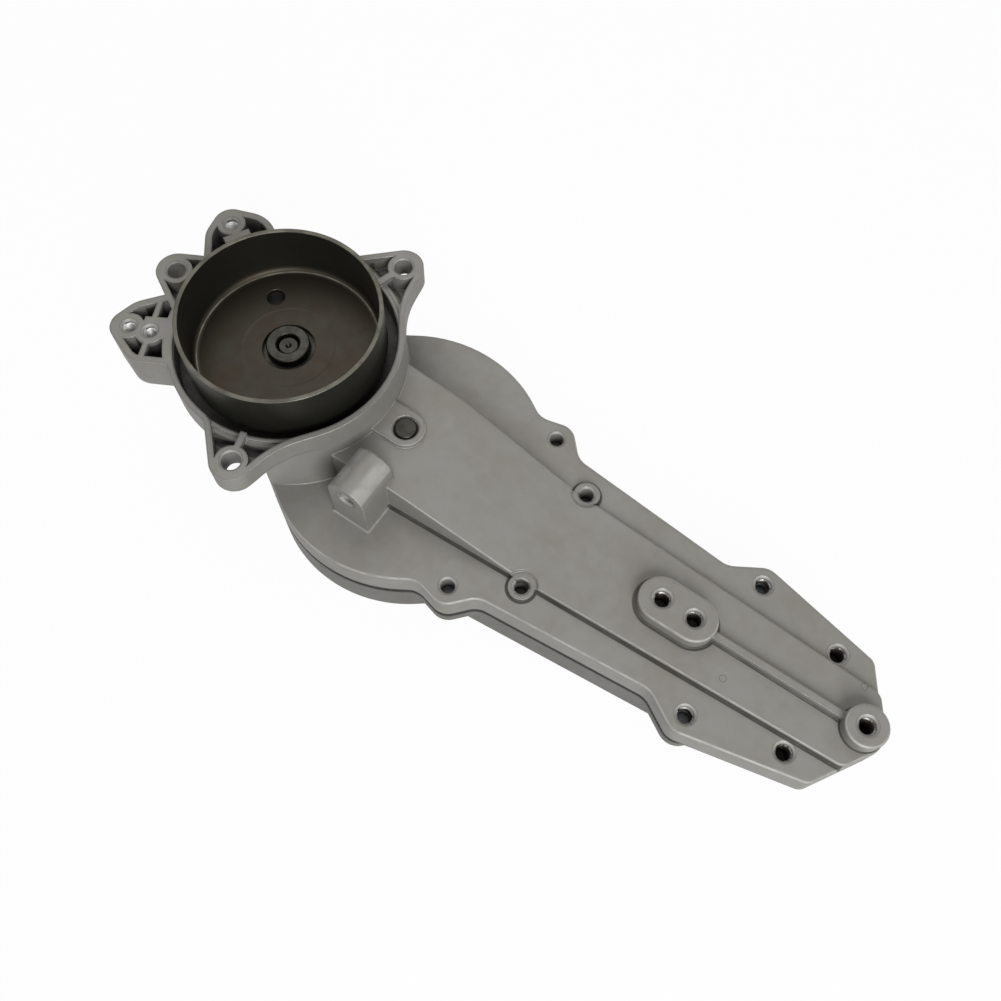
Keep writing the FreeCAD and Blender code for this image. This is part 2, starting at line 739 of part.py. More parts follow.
def side_boss():
    length = SIDE_BOSS_BACK - SIDE_BOSS_FRONT
    arch = Part.makeCylinder(SIDE_BOSS_RADIUS, length, FreeCAD.Vector(GEAR_X, SIDE_BOSS_FRONT, SIDE_BOSS_Z),
                             FreeCAD.Vector(0, 1, 0))
    stem = block(GEAR_X - SIDE_BOSS_RADIUS, GEAR_X + SIDE_BOSS_RADIUS, SIDE_BOSS_FRONT, SIDE_BOSS_BACK,
                 PLATE_Z - RUN_PAST, SIDE_BOSS_Z)
    return fused([arch, stem])


def side_boss_hole():
    radius = SIDE_BOSS_THREAD / 2
    front = FreeCAD.Vector(GEAR_X, SIDE_BOSS_FRONT, SIDE_BOSS_Z)
    inward = FreeCAD.Vector(0, 1, 0)
    core = Part.makeCylinder(radius, SIDE_BOSS_THREAD_DEPTH, front, inward)
    mouth = Part.makeCone(radius + THREAD_CHAMFER, radius, THREAD_CHAMFER, front, inward)
    return fused([core, mouth])


def pillar_reliefs():
    top = PLATE_Z + PILLAR_BOSS_RISE
    outer = PILLAR_BOSS_OUTER + PILLAR_RELIEF
    return [column(x, y, outer, top, WEDGE_TOP_Z) for x, y in both_sides(PILLAR_X, PILLAR_Y)]


def pillar_bosses():
    top = PLATE_Z + PILLAR_BOSS_RISE
    return [column(x, y, PILLAR_BOSS_OUTER, PLATE_Z - RUN_PAST, top) for x, y in both_sides(PILLAR_X, PILLAR_Y)]


def plate():
    flat = rounded_at(prism(case_outline(), PARTING_Z, PLATE_Z), PLATE_Z, CASE_TOP_EDGE)
    return fused([flat] + rear_screw_lobes(PARTING_Z, PLATE_Z))


def rear_screw_lobes(low, high):
    lobes = []
    for x, y in both_sides(REAR_SCREW_X, REAR_SCREW_Y):
        lobes.append(column(x, y, LOBE_TIP, low, high))
        span = math.hypot(x, y)
        arm = block(0, span, -LOBE_TIP, LOBE_TIP, low, high)
        lobes.append(turned_about_z(arm, math.degrees(math.atan2(y, x))))
    return lobes


def rear_block():
    # Joins the plate to the housing's floor around the pinion.
    high = HOUSING_UNDER_Z + HOUSING_FLOOR / 2
    sides = [Side(LEFT, PINION_ROOM, PINION_ROOM), Side(UP, PINION_ROOM, 0.0),
             Side(RIGHT, HOUSING_INNER / 2, 0.0), Side(DOWN, PINION_ROOM, PINION_ROOM)]
    return fused([prism(sides, PARTING_Z, high)] + rear_screw_lobes(PARTING_Z, high))


def gear_room():
    room = prism(inset(body_outline(COVER_END_X + RUN_PAST), CASE_WALL), PARTING_Z - RUN_PAST, ROOF_Z)
    posts = [column(x, y, PILLAR_OUTER, PARTING_Z, ROOF_Z) for x, y in both_sides(PILLAR_X, PILLAR_Y)]
    return room.cut(posts)


def hanging_axle_boss():
    return column(GEAR_X, 0, AXLE_HANG_BOSS, HANG_BOSS_Z, WEDGE_TOP_Z - CASE_ROOF / 2)


def bearing_boss():
    outer = UPPER_BEARING_OUTER / 2 + BEARING_BOSS_WALL
    return column(0, 0, outer, BEARING_BOSS_Z, HOUSING_FLOOR_Z)


def bearing_bores():
    seat = UPPER_BEARING_OUTER / 2 + SEAT_ROOM
    groove = seat + CIRCLIP_BITE
    shoulder = SEAL_OUTER / 2 - 2 * SEAT_ROOM
    return [column(0, 0, seat, UPPER_BEARING_Z, HOUSING_FLOOR_Z + RUN_PAST),
            column(0, 0, groove, UPPER_BEARING_TOP_Z, UPPER_BEARING_TOP_Z + CIRCLIP_THICK),
            column(0, 0, shoulder - BEARING_SHOULDER, SEAL_TOP_Z - RUN_PAST, UPPER_BEARING_Z + RUN_PAST),
            column(0, 0, SEAL_OUTER / 2 + SEAT_ROOM, ROOF_Z - RUN_PAST, SEAL_TOP_Z)]


def plate_holes():
    holes = []
    for x, y in both_sides(LOBE_X, LOBE_Y):
        holes.append(threaded_hole(x, y, COVER_THREAD, PLATE_Z, PARTING_Z - RUN_PAST))
    for x, y in both_sides(PILLAR_X, PILLAR_Y):
        holes.append(threaded_hole(x, y, COVER_THREAD, PLATE_Z + PILLAR_BOSS_RISE, PARTING_Z - RUN_PAST))
    for x, y in both_sides(END_BOLT_X, END_BOLT_Y):
        holes.append(threaded_hole(x, y, BLADE_THREAD, PLATE_Z, PLATE_Z - END_THREAD_DEPTH))
    for x, y in both_sides(SIDE_BOLT_X, SIDE_BOLT_Y):
        holes.append(threaded_hole(x, y, BLADE_THREAD, PLATE_Z, PLATE_Z - BLADE_THREAD_DEPTH))
        holes.append(column(x, y, COVER_THREAD / 2, PARTING_Z - RUN_PAST, PLATE_Z - BLADE_THREAD_DEPTH))
    holes.append(threaded_hole(TIP_BOSS_X, 0, BLADE_THREAD, WEDGE_LOW_Z + TIP_BOSS_RISE, PARTING_Z - RUN_PAST))
    twin_top = WEDGE_LOW_Z + TWIN_BOSS_RISE
    for x in (TWIN_BOSS_X, TWIN_BOSS_X + TWIN_BOSS_PITCH):
        holes.append(threaded_hole(x, 0, BLADE_THREAD, twin_top, twin_top - TWIN_THREAD_DEPTH))
    for x, y in both_sides(REAR_SCREW_X, REAR_SCREW_Y):
        holes.append(column(x, y, COVER_THREAD / 2, PARTING_Z - RUN_PAST, PARTING_Z + SCREW_REACH + RUN_PAST))
    for x, y in both_sides(DOWEL_X, DOWEL_Y):
        holes.append(column(x, y, DOWEL_DIAMETER / 2 + SEAT_ROOM, PARTING_Z - RUN_PAST,
                            PARTING_Z + DOWEL_LENGTH / 2 + SEAT_ROOM))
    return holes


def axle_holes():
    return [column(GEAR_X, 0, AXLE_DIAMETER / 2 + SEAT_ROOM, HANG_BOSS_Z - RUN_PAST, AXLE_BOSS_Z + RUN_PAST),
            column(GEAR_X, 0, AXLE_RECESS / 2, AXLE_BOSS_Z - AXLE_RECESS_DEPTH, AXLE_BOSS_Z + RUN_PAST)]


def gear_case():
    outside = fused([housing(), plate(), rear_block(), wedge_with_bosses()])
    outside = without(outside, pillar_reliefs())
    outside = fused([outside, axle_boss(), side_boss()] + pillar_bosses())
    low = FreeCAD.Vector(GEAR_X - SIDE_BOSS_RADIUS, SIDE_BOSS_FRONT, 0)
    high = FreeCAD.Vector(GEAR_X + SIDE_BOSS_RADIUS, SIDE_BOSS_BACK, 0)
    outside = with_fillet(outside, PLATE_Z, low, high)
    bore = column(0, 0, HOUSING_INNER, HOUSING_FLOOR_Z, RUN_PAST)
    hollowed = without(outside, [gear_room(), wedge_hollow(), bore] + lug_pockets())
    inner = fused([hollowed, bearing_boss(), hanging_axle_boss()])
    drilled = without(inner, bearing_bores() + plate_holes() + axle_holes() + ear_holes() + lug_holes())
    return single(drilled.cut(side_boss_hole()))


# Cover, gasket, screws and dowels
def screw_places():
    return both_sides(LOBE_X, LOBE_Y) + both_sides(SIDE_BOLT_X, SIDE_BOLT_Y) \
        + both_sides(REAR_SCREW_X, REAR_SCREW_Y)


def cover_holes():
    radius = SCREW_SHANK / 2 + SCREW_HOLE_ROOM
    holes = [column(x, y, radius, COVER_LOBE_Z - RUN_PAST, COVER_TOP_Z + RUN_PAST) for x, y in screw_places()]
    for x, y in both_sides(PILLAR_X, PILLAR_Y):
        holes.append(column(x, y, radius, COVER_BOTTOM_Z, COVER_TOP_Z + RUN_PAST))
        holes.append(column(x, y, HEAD_RECESS / 2, COVER_BOTTOM_Z, COVER_BOTTOM_Z + SCREW_HEAD_HEIGHT))
    for x, y in both_sides(DOWEL_X, DOWEL_Y):
        holes.append(column(x, y, DOWEL_DIAMETER / 2 + SEAT_ROOM,
                            COVER_TOP_Z - DOWEL_LENGTH / 2 + GASKET_THICK - SEAT_ROOM, COVER_TOP_Z + RUN_PAST))
    for x, y in screw_places():
        holes.append(column(x, y, HEAD_RECESS / 2, COVER_BOTTOM_Z - RUN_PAST, COVER_LOBE_Z))
    return holes


def cover_posts():
    # Left standing in the cover's room, for the screws through it and beside it.
    places = [(PILLAR_OUTER, both_sides(PILLAR_X, PILLAR_Y)),
              (HEAD_RECESS / 2 + SCREW_POST_WALL, both_sides(LOBE_X, LOBE_Y))]
    return [column(x, y, radius, COVER_FLOOR_Z, COVER_TOP_Z) for radius, sites in places for x, y in sites]


def lower_bearing_boss():
    return column(0, 0, LOWER_BEARING_OUTER / 2 + BEARING_SHOULDER, COVER_FLOOR_Z, LOWER_BEARING_TOP_Z)


def cover_seats():
    # For the lower bearing, with room under its inner race, and for the axle's foot.
    bearing = LOWER_BEARING_OUTER / 2 + SEAT_ROOM
    under_race = LOWER_BEARING_BORE / 2 + BEARING_SHOULDER
    return [column(0, 0, bearing, LOWER_BEARING_Z, LOWER_BEARING_TOP_Z + RUN_PAST),
            column(0, 0, under_race, LOWER_BEARING_Z - BEARING_LIP, LOWER_BEARING_Z),
            column(GEAR_X, 0, AXLE_DIAMETER / 2 + SEAT_ROOM, COVER_FLOOR_Z - AXLE_FOOT, COVER_FLOOR_Z)]


def bottom_cover():
    body = rounded_at(prism(body_outline(COVER_END_X), COVER_BOTTOM_Z, COVER_TOP_Z), COVER_BOTTOM_Z, COVER_EDGE)
    lobes = prism(lobed_cover_outline(), COVER_LOBE_Z, COVER_TOP_Z)
    rear = rear_screw_lobes(COVER_LOBE_Z, COVER_TOP_Z)
    shell = fused([body, lobes] + rear)
    room = prism(cover_room_outline(), COVER_FLOOR_Z, COVER_TOP_Z + RUN_PAST)
    shell = without(shell, [room.cut(cover_posts() + [lower_bearing_boss()])])
    return single(without(shell, cover_seats() + cover_holes()))


def cover_gasket():
    sheet = prism(inset(lobed_cover_outline(), GASKET_INSET), COVER_TOP_Z, PARTING_Z)
    sheet = fused([sheet] + rear_gasket_lobes())
    room = prism(cover_room_outline(), COVER_TOP_Z - RUN_PAST, PARTING_Z + RUN_PAST)
    posts = [column(x, y, PILLAR_OUTER, COVER_TOP_Z, PARTING_Z) for x, y in both_sides(PILLAR_X, PILLAR_Y)]
    radius = SCREW_SHANK / 2 + SCREW_HOLE_ROOM
    places = screw_places() + both_sides(PILLAR_X, PILLAR_Y)
    holes = [column(x, y, radius, COVER_TOP_Z, PARTING_Z) for x, y in places]
    dowels = [column(x, y, DOWEL_DIAMETER / 2 + SCREW_HOLE_ROOM, COVER_TOP_Z, PARTING_Z)
              for x, y in both_sides(DOWEL_X, DOWEL_Y)]
    open_end = block(COVER_END_X, TIP_BOSS_X, -SIDE_BOLT_Y + LOBE_TIP, SIDE_BOLT_Y - LOBE_TIP,
                     COVER_TOP_Z, PARTING_Z)
    return single(without(sheet, [room.cut(posts), open_end] + holes + dowels))


def rear_gasket_lobes():
    lobes = []
    for x, y in both_sides(REAR_SCREW_X, REAR_SCREW_Y):
        lobes.append(column(x, y, LOBE_TIP - GASKET_INSET, COVER_TOP_Z, PARTING_Z))
        arm = block(PINION_ROOM - CASE_WALL, math.hypot(x, y), GASKET_INSET - LOBE_TIP, LOBE_TIP - GASKET_INSET,
                    COVER_TOP_Z, PARTING_Z)
        lobes.append(turned_about_z(arm, math.degrees(math.atan2(y, x))))
    return lobes


def socket_screw(x, y, seat_z, tip_z):
    # Head below the seat, shank upwards, hexagon socket in the head.
    head_z = seat_z - SCREW_HEAD_HEIGHT
    head = column(x, y, SCREW_HEAD / 2, head_z, seat_z)
    shank = column(x, y, SCREW_SHANK / 2, seat_z, tip_z)
    sides = [side_on_circle(x, y, SCREW_SOCKET / 2, -FULL_TURN * index / SCREW_SOCKET_SIDES, 0.0)
             for index in range(SCREW_SOCKET_SIDES)]
    socket = prism(sides, head_z, head_z + SCREW_SOCKET_DEPTH)
    return fused([head, shank]).cut(socket)


def cover_screws():
    tip = PARTING_Z + SCREW_REACH
    return Part.makeCompound([socket_screw(x, y, COVER_LOBE_Z, tip) for x, y in screw_places()])


def pillar_screws():
    tip = PARTING_Z + SCREW_REACH
    seat = COVER_BOTTOM_Z + SCREW_HEAD_HEIGHT
    return Part.makeCompound([socket_screw(x, y, seat, tip) for x, y in both_sides(PILLAR_X, PILLAR_Y)])


def cover_dowels():
    low = COVER_TOP_Z - DOWEL_LENGTH / 2 + GASKET_THICK
    high = PARTING_Z + DOWEL_LENGTH / 2
    return Part.makeCompound([column(x, y, DOWEL_DIAMETER / 2, low, high)
                              for x, y in both_sides(DOWEL_X, DOWEL_Y)])


# Clutch drum, hub and pinion shaft
def clutch_drum():
    inner = DRUM_BORE / 2
    outer = inner + DRUM_WALL
    cup = column(0, 0, outer, DRUM_UNDER_Z, DRUM_TOP_Z)
    cup = rounded_at(cup, DRUM_UNDER_Z, DRUM_EDGE + DRUM_FLOOR / 2)
    room = rounded_at(column(0, 0, inner, DRUM_FLOOR_Z, DRUM_TOP_Z), DRUM_FLOOR_Z, DRUM_EDGE)
    nx, ny = unit(DRUM_ACCESS_ANGLE)
    access = column(DRUM_ACCESS_RADIUS * nx, DRUM_ACCESS_RADIUS * ny, DRUM_ACCESS_HOLE / 2,
                    DRUM_UNDER_Z, DRUM_FLOOR_Z)
    return single(cup.cut([room, access, column(0, 0, DRUM_HUB_HOLE / 2, DRUM_UNDER_Z, DRUM_FLOOR_Z)]))


def drum_hub():
    bore = SHAFT_STUD / 2 + SEAT_ROOM
    neck = HUB_NECK / 2
    flange = HUB_FLANGE / 2
    foot = HUB_FOOT / 2
    flange_z = DRUM_UNDER_Z - HUB_FLANGE_THICK
    return turned([(bore, UPPER_BEARING_TOP_Z), (foot, UPPER_BEARING_TOP_Z), (foot, flange_z),
                   (flange, flange_z), (flange, DRUM_UNDER_Z), (neck, DRUM_UNDER_Z),
                   (neck, HUB_TOP_Z - TURNED_EDGE), (neck - TURNED_EDGE, HUB_TOP_Z),
                   (bore + TURNED_EDGE, HUB_TOP_Z), (bore, HUB_TOP_Z - TURNED_EDGE)])


def involute(angle):
    return math.tan(angle) - angle


def polar(radius, angle, z):
    return FreeCAD.Vector(radius * math.cos(angle), radius * math.sin(angle), z)


def gear_radii(teeth, shift):
    # Root circle, foot of the involute flank, and tip circle.
    pitch = MODULE * teeth / 2
    base = pitch * math.cos(math.radians(PRESSURE_ANGLE))
    root = pitch - MODULE * (DEDENDUM - shift)
    tip = pitch + MODULE * (ADDENDUM + shift - TIP_CUT)
    return root, max(base, root), tip


def half_tooth_angle(teeth, shift, radius):
    # A quarter of the backlash comes off each flank.
    pitch = MODULE * teeth / 2
    pressure = math.radians(PRESSURE_ANGLE)
    at_pitch = (math.pi / 2 + 2 * shift * math.tan(pressure)) / teeth - BACKLASH / 4 / pitch
    here = math.acos(min(1.0, pitch * math.cos(pressure) / radius))
    return at_pitch + involute(pressure) - involute(here)


def tooth_edges(flank, root, middle, step, z):
    # One tooth and the gap after it. The flank has radius and half angle at three places.
    foot, foot_angle = flank[0]
    rising = [polar(radius, middle - angle, z) for radius, angle in flank]
    falling = [polar(radius, middle + angle, z) for radius, angle in reversed(flank)]
    gap = [polar(root, middle + angle, z) for angle in (foot_angle, step / 2, step - foot_angle)]
    crest = arc(rising[-1], polar(flank[-1][0], middle, z), falling[0])
    edges = [arc(*rising), crest, arc(*falling), arc(*gap)]
    if foot - root > SAME:
        edges.insert(0, line(polar(root, middle - foot_angle, z), rising[0]))
        edges.insert(-1, line(falling[-1], gap[0]))
    return edges


def gear_solid(teeth, shift, low, high):
    root, foot, tip = gear_radii(teeth, shift)
    flank = [(radius, half_tooth_angle(teeth, shift, radius)) for radius in (foot, (foot + tip) / 2, tip)]
    step = 2 * math.pi / teeth
    edges = []
    for index in range(teeth):
        edges += tooth_edges(flank, root, index * step, step, low)
    return Part.Face(Part.Wire(edges)).extrude(FreeCAD.Vector(0, 0, high - low))


def pinion_shaft():
    stud = SHAFT_STUD / 2
    upper = UPPER_BEARING_BORE / 2 - SEAT_ROOM
    lower = LOWER_BEARING_BORE / 2 - SEAT_ROOM
    neck = SHAFT_NECK / 2
    collar = SHAFT_COLLAR / 2
    top = HUB_TOP_Z - SHAFT_STUD_BELOW
    pinion_low = GEAR_BOTTOM_Z - PINION_EXTRA
    pinion_high = GEAR_TOP_Z + PINION_EXTRA
    bottom = LOWER_BEARING_Z + BEARING_LIP / 2
    centre = SHAFT_CENTRE_HOLE / 2
    body = turned([(0, bottom), (lower - TURNED_EDGE, bottom), (lower, bottom + TURNED_EDGE),
                   (lower, LOWER_BEARING_TOP_Z), (collar, LOWER_BEARING_TOP_Z), (collar, pinion_low),
                   (neck, pinion_low), (neck, BEARING_BOSS_Z), (upper, BEARING_BOSS_Z),
                   (upper, UPPER_BEARING_TOP_Z), (stud, UPPER_BEARING_TOP_Z), (stud, top - THREAD_CHAMFER),
                   (stud - THREAD_CHAMFER, top), (centre, top), (0, top - centre)])
    return single(fused([body, gear_solid(PINION_TEETH, PROFILE_SHIFT, pinion_low, pinion_high)]))


# Ball bearings
def race_groove(bearing, mid_z):
    return Part.makeTorus(bearing.pitch / 2, bearing.ball / 2 + RACE_ROOM, FreeCAD.Vector(0, 0, mid_z))


def outer_race(bearing, low):
    pitch = bearing.pitch / 2
    land = pitch + bearing.ball * RACE_LAND / 2
    mid_z = low + bearing.width / 2
    body = ring(0, 0, land, bearing.outside / 2, low, low + bearing.width)
    return single(body.cut(race_groove(bearing, mid_z)))


def inner_race(bearing, low):
    pitch = bearing.pitch / 2
    land = pitch - bearing.ball * RACE_LAND / 2
    mid_z = low + bearing.width / 2
    body = ring(0, 0, bearing.bore / 2, land, low, low + bearing.width)
    return single(body.cut(race_groove(bearing, mid_z)))


def balls(bearing, low, growth=0.0):
    mid_z = low + bearing.width / 2
    made = []
    for index in range(BEARING_BALLS):
        nx, ny = unit(FULL_TURN * index / BEARING_BALLS)
        centre = FreeCAD.Vector(bearing.pitch / 2 * nx, bearing.pitch / 2 * ny, mid_z)
        made.append(Part.makeSphere(bearing.ball / 2 + growth, centre))
    return made


def ball_cage(bearing, low):
    mid_z = low + bearing.width / 2
    pitch = bearing.pitch / 2
    half = bearing.ball * RACE_LAND / 2 - CAGE_ROOM
    bottom = mid_z - bearing.ball / 2 - CAGE_WALL
    crown = ring(0, 0, pitch - half, pitch + half, bottom, mid_z + bearing.ball * CAGE_CLAW)
    return single(crown.cut(balls(bearing, low, 2 * RACE_ROOM)))


def circlip():
    outer = UPPER_BEARING_OUTER / 2 + CIRCLIP_BITE - SEAT_ROOM
    inner = outer - CIRCLIP_WIDTH - CIRCLIP_BITE
    whole = ring(0, 0, inner, outer, UPPER_BEARING_TOP_Z, UPPER_BEARING_TOP_Z + CIRCLIP_THICK - SEAT_ROOM)
    half_gap = outer * math.sin(math.radians(CIRCLIP_GAP / 2))
    gap = block(0, outer + RUN_PAST, -half_gap, half_gap, UPPER_BEARING_TOP_Z, HOUSING_FLOOR_Z)
    return single(whole.cut(gap))


def shaft_seal():
    inner = UPPER_BEARING_BORE / 2 + RUN_ROOM
    outer = SEAL_OUTER / 2
    lip = inner + CAGE_WALL
    casing = outer - CAGE_WALL
    mid = BEARING_BOSS_Z + SEAL_THICK / 2
    return turned([(inner, BEARING_BOSS_Z + SEAL_LIP_LIFT), (lip, BEARING_BOSS_Z), (lip + CAGE_WALL, mid),
                   (casing - CAGE_WALL, mid), (casing, BEARING_BOSS_Z), (outer, BEARING_BOSS_Z),
                   (outer, SEAL_TOP_Z), (lip, SEAL_TOP_Z), (inner, mid)])


# Crank gear, cams, axle and rods
def crank_gear():
    body = gear_solid(CRANK_TEETH, -PROFILE_SHIFT, GEAR_BOTTOM_Z, GEAR_TOP_Z)
    hub = GEAR_HUB / 2
    dish = (GEAR_WIDTH - GEAR_WEB) / 2
    inner = gear_radii(CRANK_TEETH, -PROFILE_SHIFT)[0] - GEAR_RIM
    upper = ring(0, 0, hub, inner, GEAR_TOP_Z - dish, GEAR_TOP_Z)
    lower = ring(0, 0, hub, inner, GEAR_BOTTOM_Z, GEAR_BOTTOM_Z + dish)
    cuts = [upper, lower, column(0, 0, CAM_HUB / 2 + SEAT_ROOM, GEAR_BOTTOM_Z, GEAR_TOP_Z)]
    for index in range(GEAR_WEB_HOLES):
        nx, ny = unit(FULL_TURN * (index + 1 / 2) / GEAR_WEB_HOLES)
        middle = (hub + inner) / 2
        cuts.append(column(middle * nx, middle * ny, GEAR_WEB_HOLE / 2, GEAR_BOTTOM_Z, GEAR_TOP_Z))
    cuts += crank_pin_columns(CRANK_PIN_HOLE / 2 + SEAT_ROOM, GEAR_BOTTOM_Z, GEAR_TOP_Z, 0.0)
    gear = single(without(body, cuts))
    gear.translate(FreeCAD.Vector(GEAR_X, 0, 0))
    return gear


def crank_pin_columns(radius, low, high, x):
    made = []
    for angle in CRANK_PIN_ANGLES:
        nx, ny = unit(angle)
        made.append(column(x + CRANK_PIN_RADIUS * nx, CRANK_PIN_RADIUS * ny, radius, low, high))
    return made


def cam_hub():
    hub = column(GEAR_X, 0, CAM_HUB / 2, CRANK_BOTTOM_Z, GEAR_TOP_Z)
    lower = column(GEAR_X - CAM_THROW, 0, CAM_DIAMETER / 2, CRANK_BOTTOM_Z, LOWER_CAM_TOP_Z)
    upper = column(GEAR_X + CAM_THROW, 0, CAM_DIAMETER / 2, LOWER_CAM_TOP_Z, GEAR_BOTTOM_Z)
    bore = column(GEAR_X, 0, AXLE_DIAMETER / 2 + AXLE_BUSH_WALL + SEAT_ROOM, CRANK_BOTTOM_Z, GEAR_TOP_Z)
    pin_low = LOWER_CAM_TOP_Z + CAM_THICK / 2
    pins = crank_pin_columns(CRANK_PIN_HOLE / 2 + SEAT_ROOM, pin_low, GEAR_TOP_Z, GEAR_X)
    return single(without(fused([hub, lower, upper]), [bore] + pins))


def crank_pins():
    low = LOWER_CAM_TOP_Z + CAM_THICK / 2
    return Part.makeCompound(crank_pin_columns(CRANK_PIN_HOLE / 2, low, GEAR_TOP_Z - RUN_PAST, GEAR_X))


def axle_bush():
    inner = AXLE_DIAMETER / 2 + RUN_ROOM
    outer = AXLE_DIAMETER / 2 + AXLE_BUSH_WALL
    return ring(GEAR_X, 0, inner, outer, CRANK_BOTTOM_Z, GEAR_TOP_Z)


def crank_axle():
    radius = AXLE_DIAMETER / 2
    tip = AXLE_TIP / 2
    low = COVER_FLOOR_Z - AXLE_FOOT
    high = AXLE_BOSS_Z
    return turned([(0, low), (radius - TURNED_EDGE, low), (radius, low + TURNED_EDGE),
                   (radius, high - AXLE_RECESS_DEPTH), (tip, high - AXLE_RECESS_DEPTH),
                   (tip, high - TURNED_EDGE), (tip - TURNED_EDGE, high), (0, high)], GEAR_X)


def thrust_washer(low):
    return ring(GEAR_X, 0, AXLE_DIAMETER / 2 + RUN_ROOM, WASHER_OUTER / 2, low, low + WASHER_THICK)


def rod(x, low):
    ring_inner = CAM_DIAMETER / 2 + RUN_ROOM + ROD_BUSH_WALL
    ring_outer = ring_inner + ROD_RING_WALL
    high = low + ROD_THICK
    eye_x = x + ROD_LENGTH
    taper = math.degrees(math.atan((ROD_BAR_AT_RING - ROD_BAR_AT_EYE) / 2 / ROD_LENGTH))
    upper = side_through(x, ROD_BAR_AT_RING / 2, UP - taper, 0.0)
    lower = side_through(x, -ROD_BAR_AT_RING / 2, DOWN + taper, 0.0)
    bar = prism([Side(LEFT, -x, 0.0), upper, Side(RIGHT, eye_x, 0.0), lower], low, high)
    body = fused([column(x, 0, ring_outer, low, high), bar, column(eye_x, 0, ROD_EYE, low, high)])
    return single(without(body, [column(x, 0, ring_inner, low, high),
                                 column(eye_x, 0, ROD_EYE_HOLE / 2, low, high)]))


def rod_bush(x, low):
    inner = CAM_DIAMETER / 2 + RUN_ROOM
    return ring(x, 0, inner, inner + ROD_BUSH_WALL - SEAT_ROOM, low, low + ROD_THICK)


def parts():
    upper_cam_x = GEAR_X + CAM_THROW
    lower_cam_x = GEAR_X - CAM_THROW
    upper_rod_z = LOWER_CAM_TOP_Z + ROD_SIDE_ROOM
    lower_rod_z = CRANK_BOTTOM_Z + ROD_SIDE_ROOM
    return {
        "gear_case": gear_case(),
        "bottom_cover": bottom_cover(),
        "cover_gasket": cover_gasket(),
        "cover_screws": cover_screws(),
        "pillar_screws": pillar_screws(),
        "cover_dowels": cover_dowels(),
        "clutch_drum": clutch_drum(),
        "drum_hub": drum_hub(),
        "pinion_shaft": pinion_shaft(),
        "upper_bearing_outer_race": outer_race(UPPER_BEARING, UPPER_BEARING_Z),
        "upper_bearing_inner_race": inner_race(UPPER_BEARING, UPPER_BEARING_Z),
        "upper_bearing_balls": Part.makeCompound(balls(UPPER_BEARING, UPPER_BEARING_Z)),
        "upper_bearing_cage": ball_cage(UPPER_BEARING, UPPER_BEARING_Z),
        "lower_bearing_outer_race": outer_race(LOWER_BEARING, LOWER_BEARING_Z),
        "lower_bearing_inner_race": inner_race(LOWER_BEARING, LOWER_BEARING_Z),
        "lower_bearing_balls": Part.makeCompound(balls(LOWER_BEARING, LOWER_BEARING_Z)),
        "lower_bearing_cage": ball_cage(LOWER_BEARING, LOWER_BEARING_Z),
        "bearing_circlip": circlip(),
        "shaft_seal": shaft_seal(),
        "crank_gear": crank_gear(),
        "cam_hub": cam_hub(),
        "crank_pins": crank_pins(),
        "axle_bush": axle_bush(),
        "crank_axle": crank_axle(),
        "upper_thrust_washer": thrust_washer(TOP_WASHER_Z),
        "lower_thrust_washer": thrust_washer(COVER_FLOOR_Z),
        "upper_rod": rod(upper_cam_x, upper_rod_z),
        "upper_rod_bush": rod_bush(upper_cam_x, upper_rod_z),
        "lower_rod": rod(lower_cam_x, lower_rod_z),
        "lower_rod_bush": rod_bush(lower_cam_x, lower_rod_z),
    }


def main():
    os.makedirs("parts", exist_ok=True)
    for name, shape in parts().items():
        shape.exportStep("parts/" + name + ".step")
        print(name, len(shape.Solids), "solid", "valid" if shape.isValid() else "INVALID", round(shape.Volume))


main()
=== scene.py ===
import json
import math

import bmesh
import bpy
from bpy.props import FloatProperty, FloatVectorProperty, IntProperty, PointerProperty
from mathutils import Matrix, Vector


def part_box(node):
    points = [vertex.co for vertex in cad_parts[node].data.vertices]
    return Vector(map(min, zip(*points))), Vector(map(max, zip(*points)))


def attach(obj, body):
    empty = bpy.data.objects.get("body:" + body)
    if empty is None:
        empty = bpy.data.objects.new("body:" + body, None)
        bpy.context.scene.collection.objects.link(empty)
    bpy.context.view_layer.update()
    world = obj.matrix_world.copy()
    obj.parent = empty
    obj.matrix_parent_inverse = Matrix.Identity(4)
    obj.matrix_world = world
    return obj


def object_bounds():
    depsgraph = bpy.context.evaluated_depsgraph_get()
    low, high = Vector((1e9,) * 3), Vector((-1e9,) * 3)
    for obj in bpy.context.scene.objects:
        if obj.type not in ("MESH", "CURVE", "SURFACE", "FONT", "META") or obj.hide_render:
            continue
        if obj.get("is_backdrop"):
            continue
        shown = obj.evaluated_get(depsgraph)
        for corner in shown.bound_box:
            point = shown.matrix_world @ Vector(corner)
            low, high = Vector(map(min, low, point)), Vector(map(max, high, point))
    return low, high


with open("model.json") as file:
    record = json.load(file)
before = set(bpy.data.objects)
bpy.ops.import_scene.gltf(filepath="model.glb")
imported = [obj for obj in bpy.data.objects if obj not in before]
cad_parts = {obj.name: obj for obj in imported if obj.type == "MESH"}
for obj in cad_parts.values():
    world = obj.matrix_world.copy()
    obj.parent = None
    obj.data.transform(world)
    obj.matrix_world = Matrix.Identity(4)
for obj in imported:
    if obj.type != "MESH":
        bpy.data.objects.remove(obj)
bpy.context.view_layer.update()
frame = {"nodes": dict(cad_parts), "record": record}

bl_info = {
    "name": "Hedge trimmer gearbox",
    "version": (1, 0, 0),
    "blender": (4, 5, 0),
    "location": "View3D > Sidebar > Gearbox",
    "description": "Finishes, threads and a studio for a die-cast hedge trimmer gearbox",
    "category": "Object",
}

MOUNTS = {mount["name"]: mount for mount in frame["record"]["mounts"]}
MILLIMETRE = 0.001

# Lengths are in metres, and heights are z.

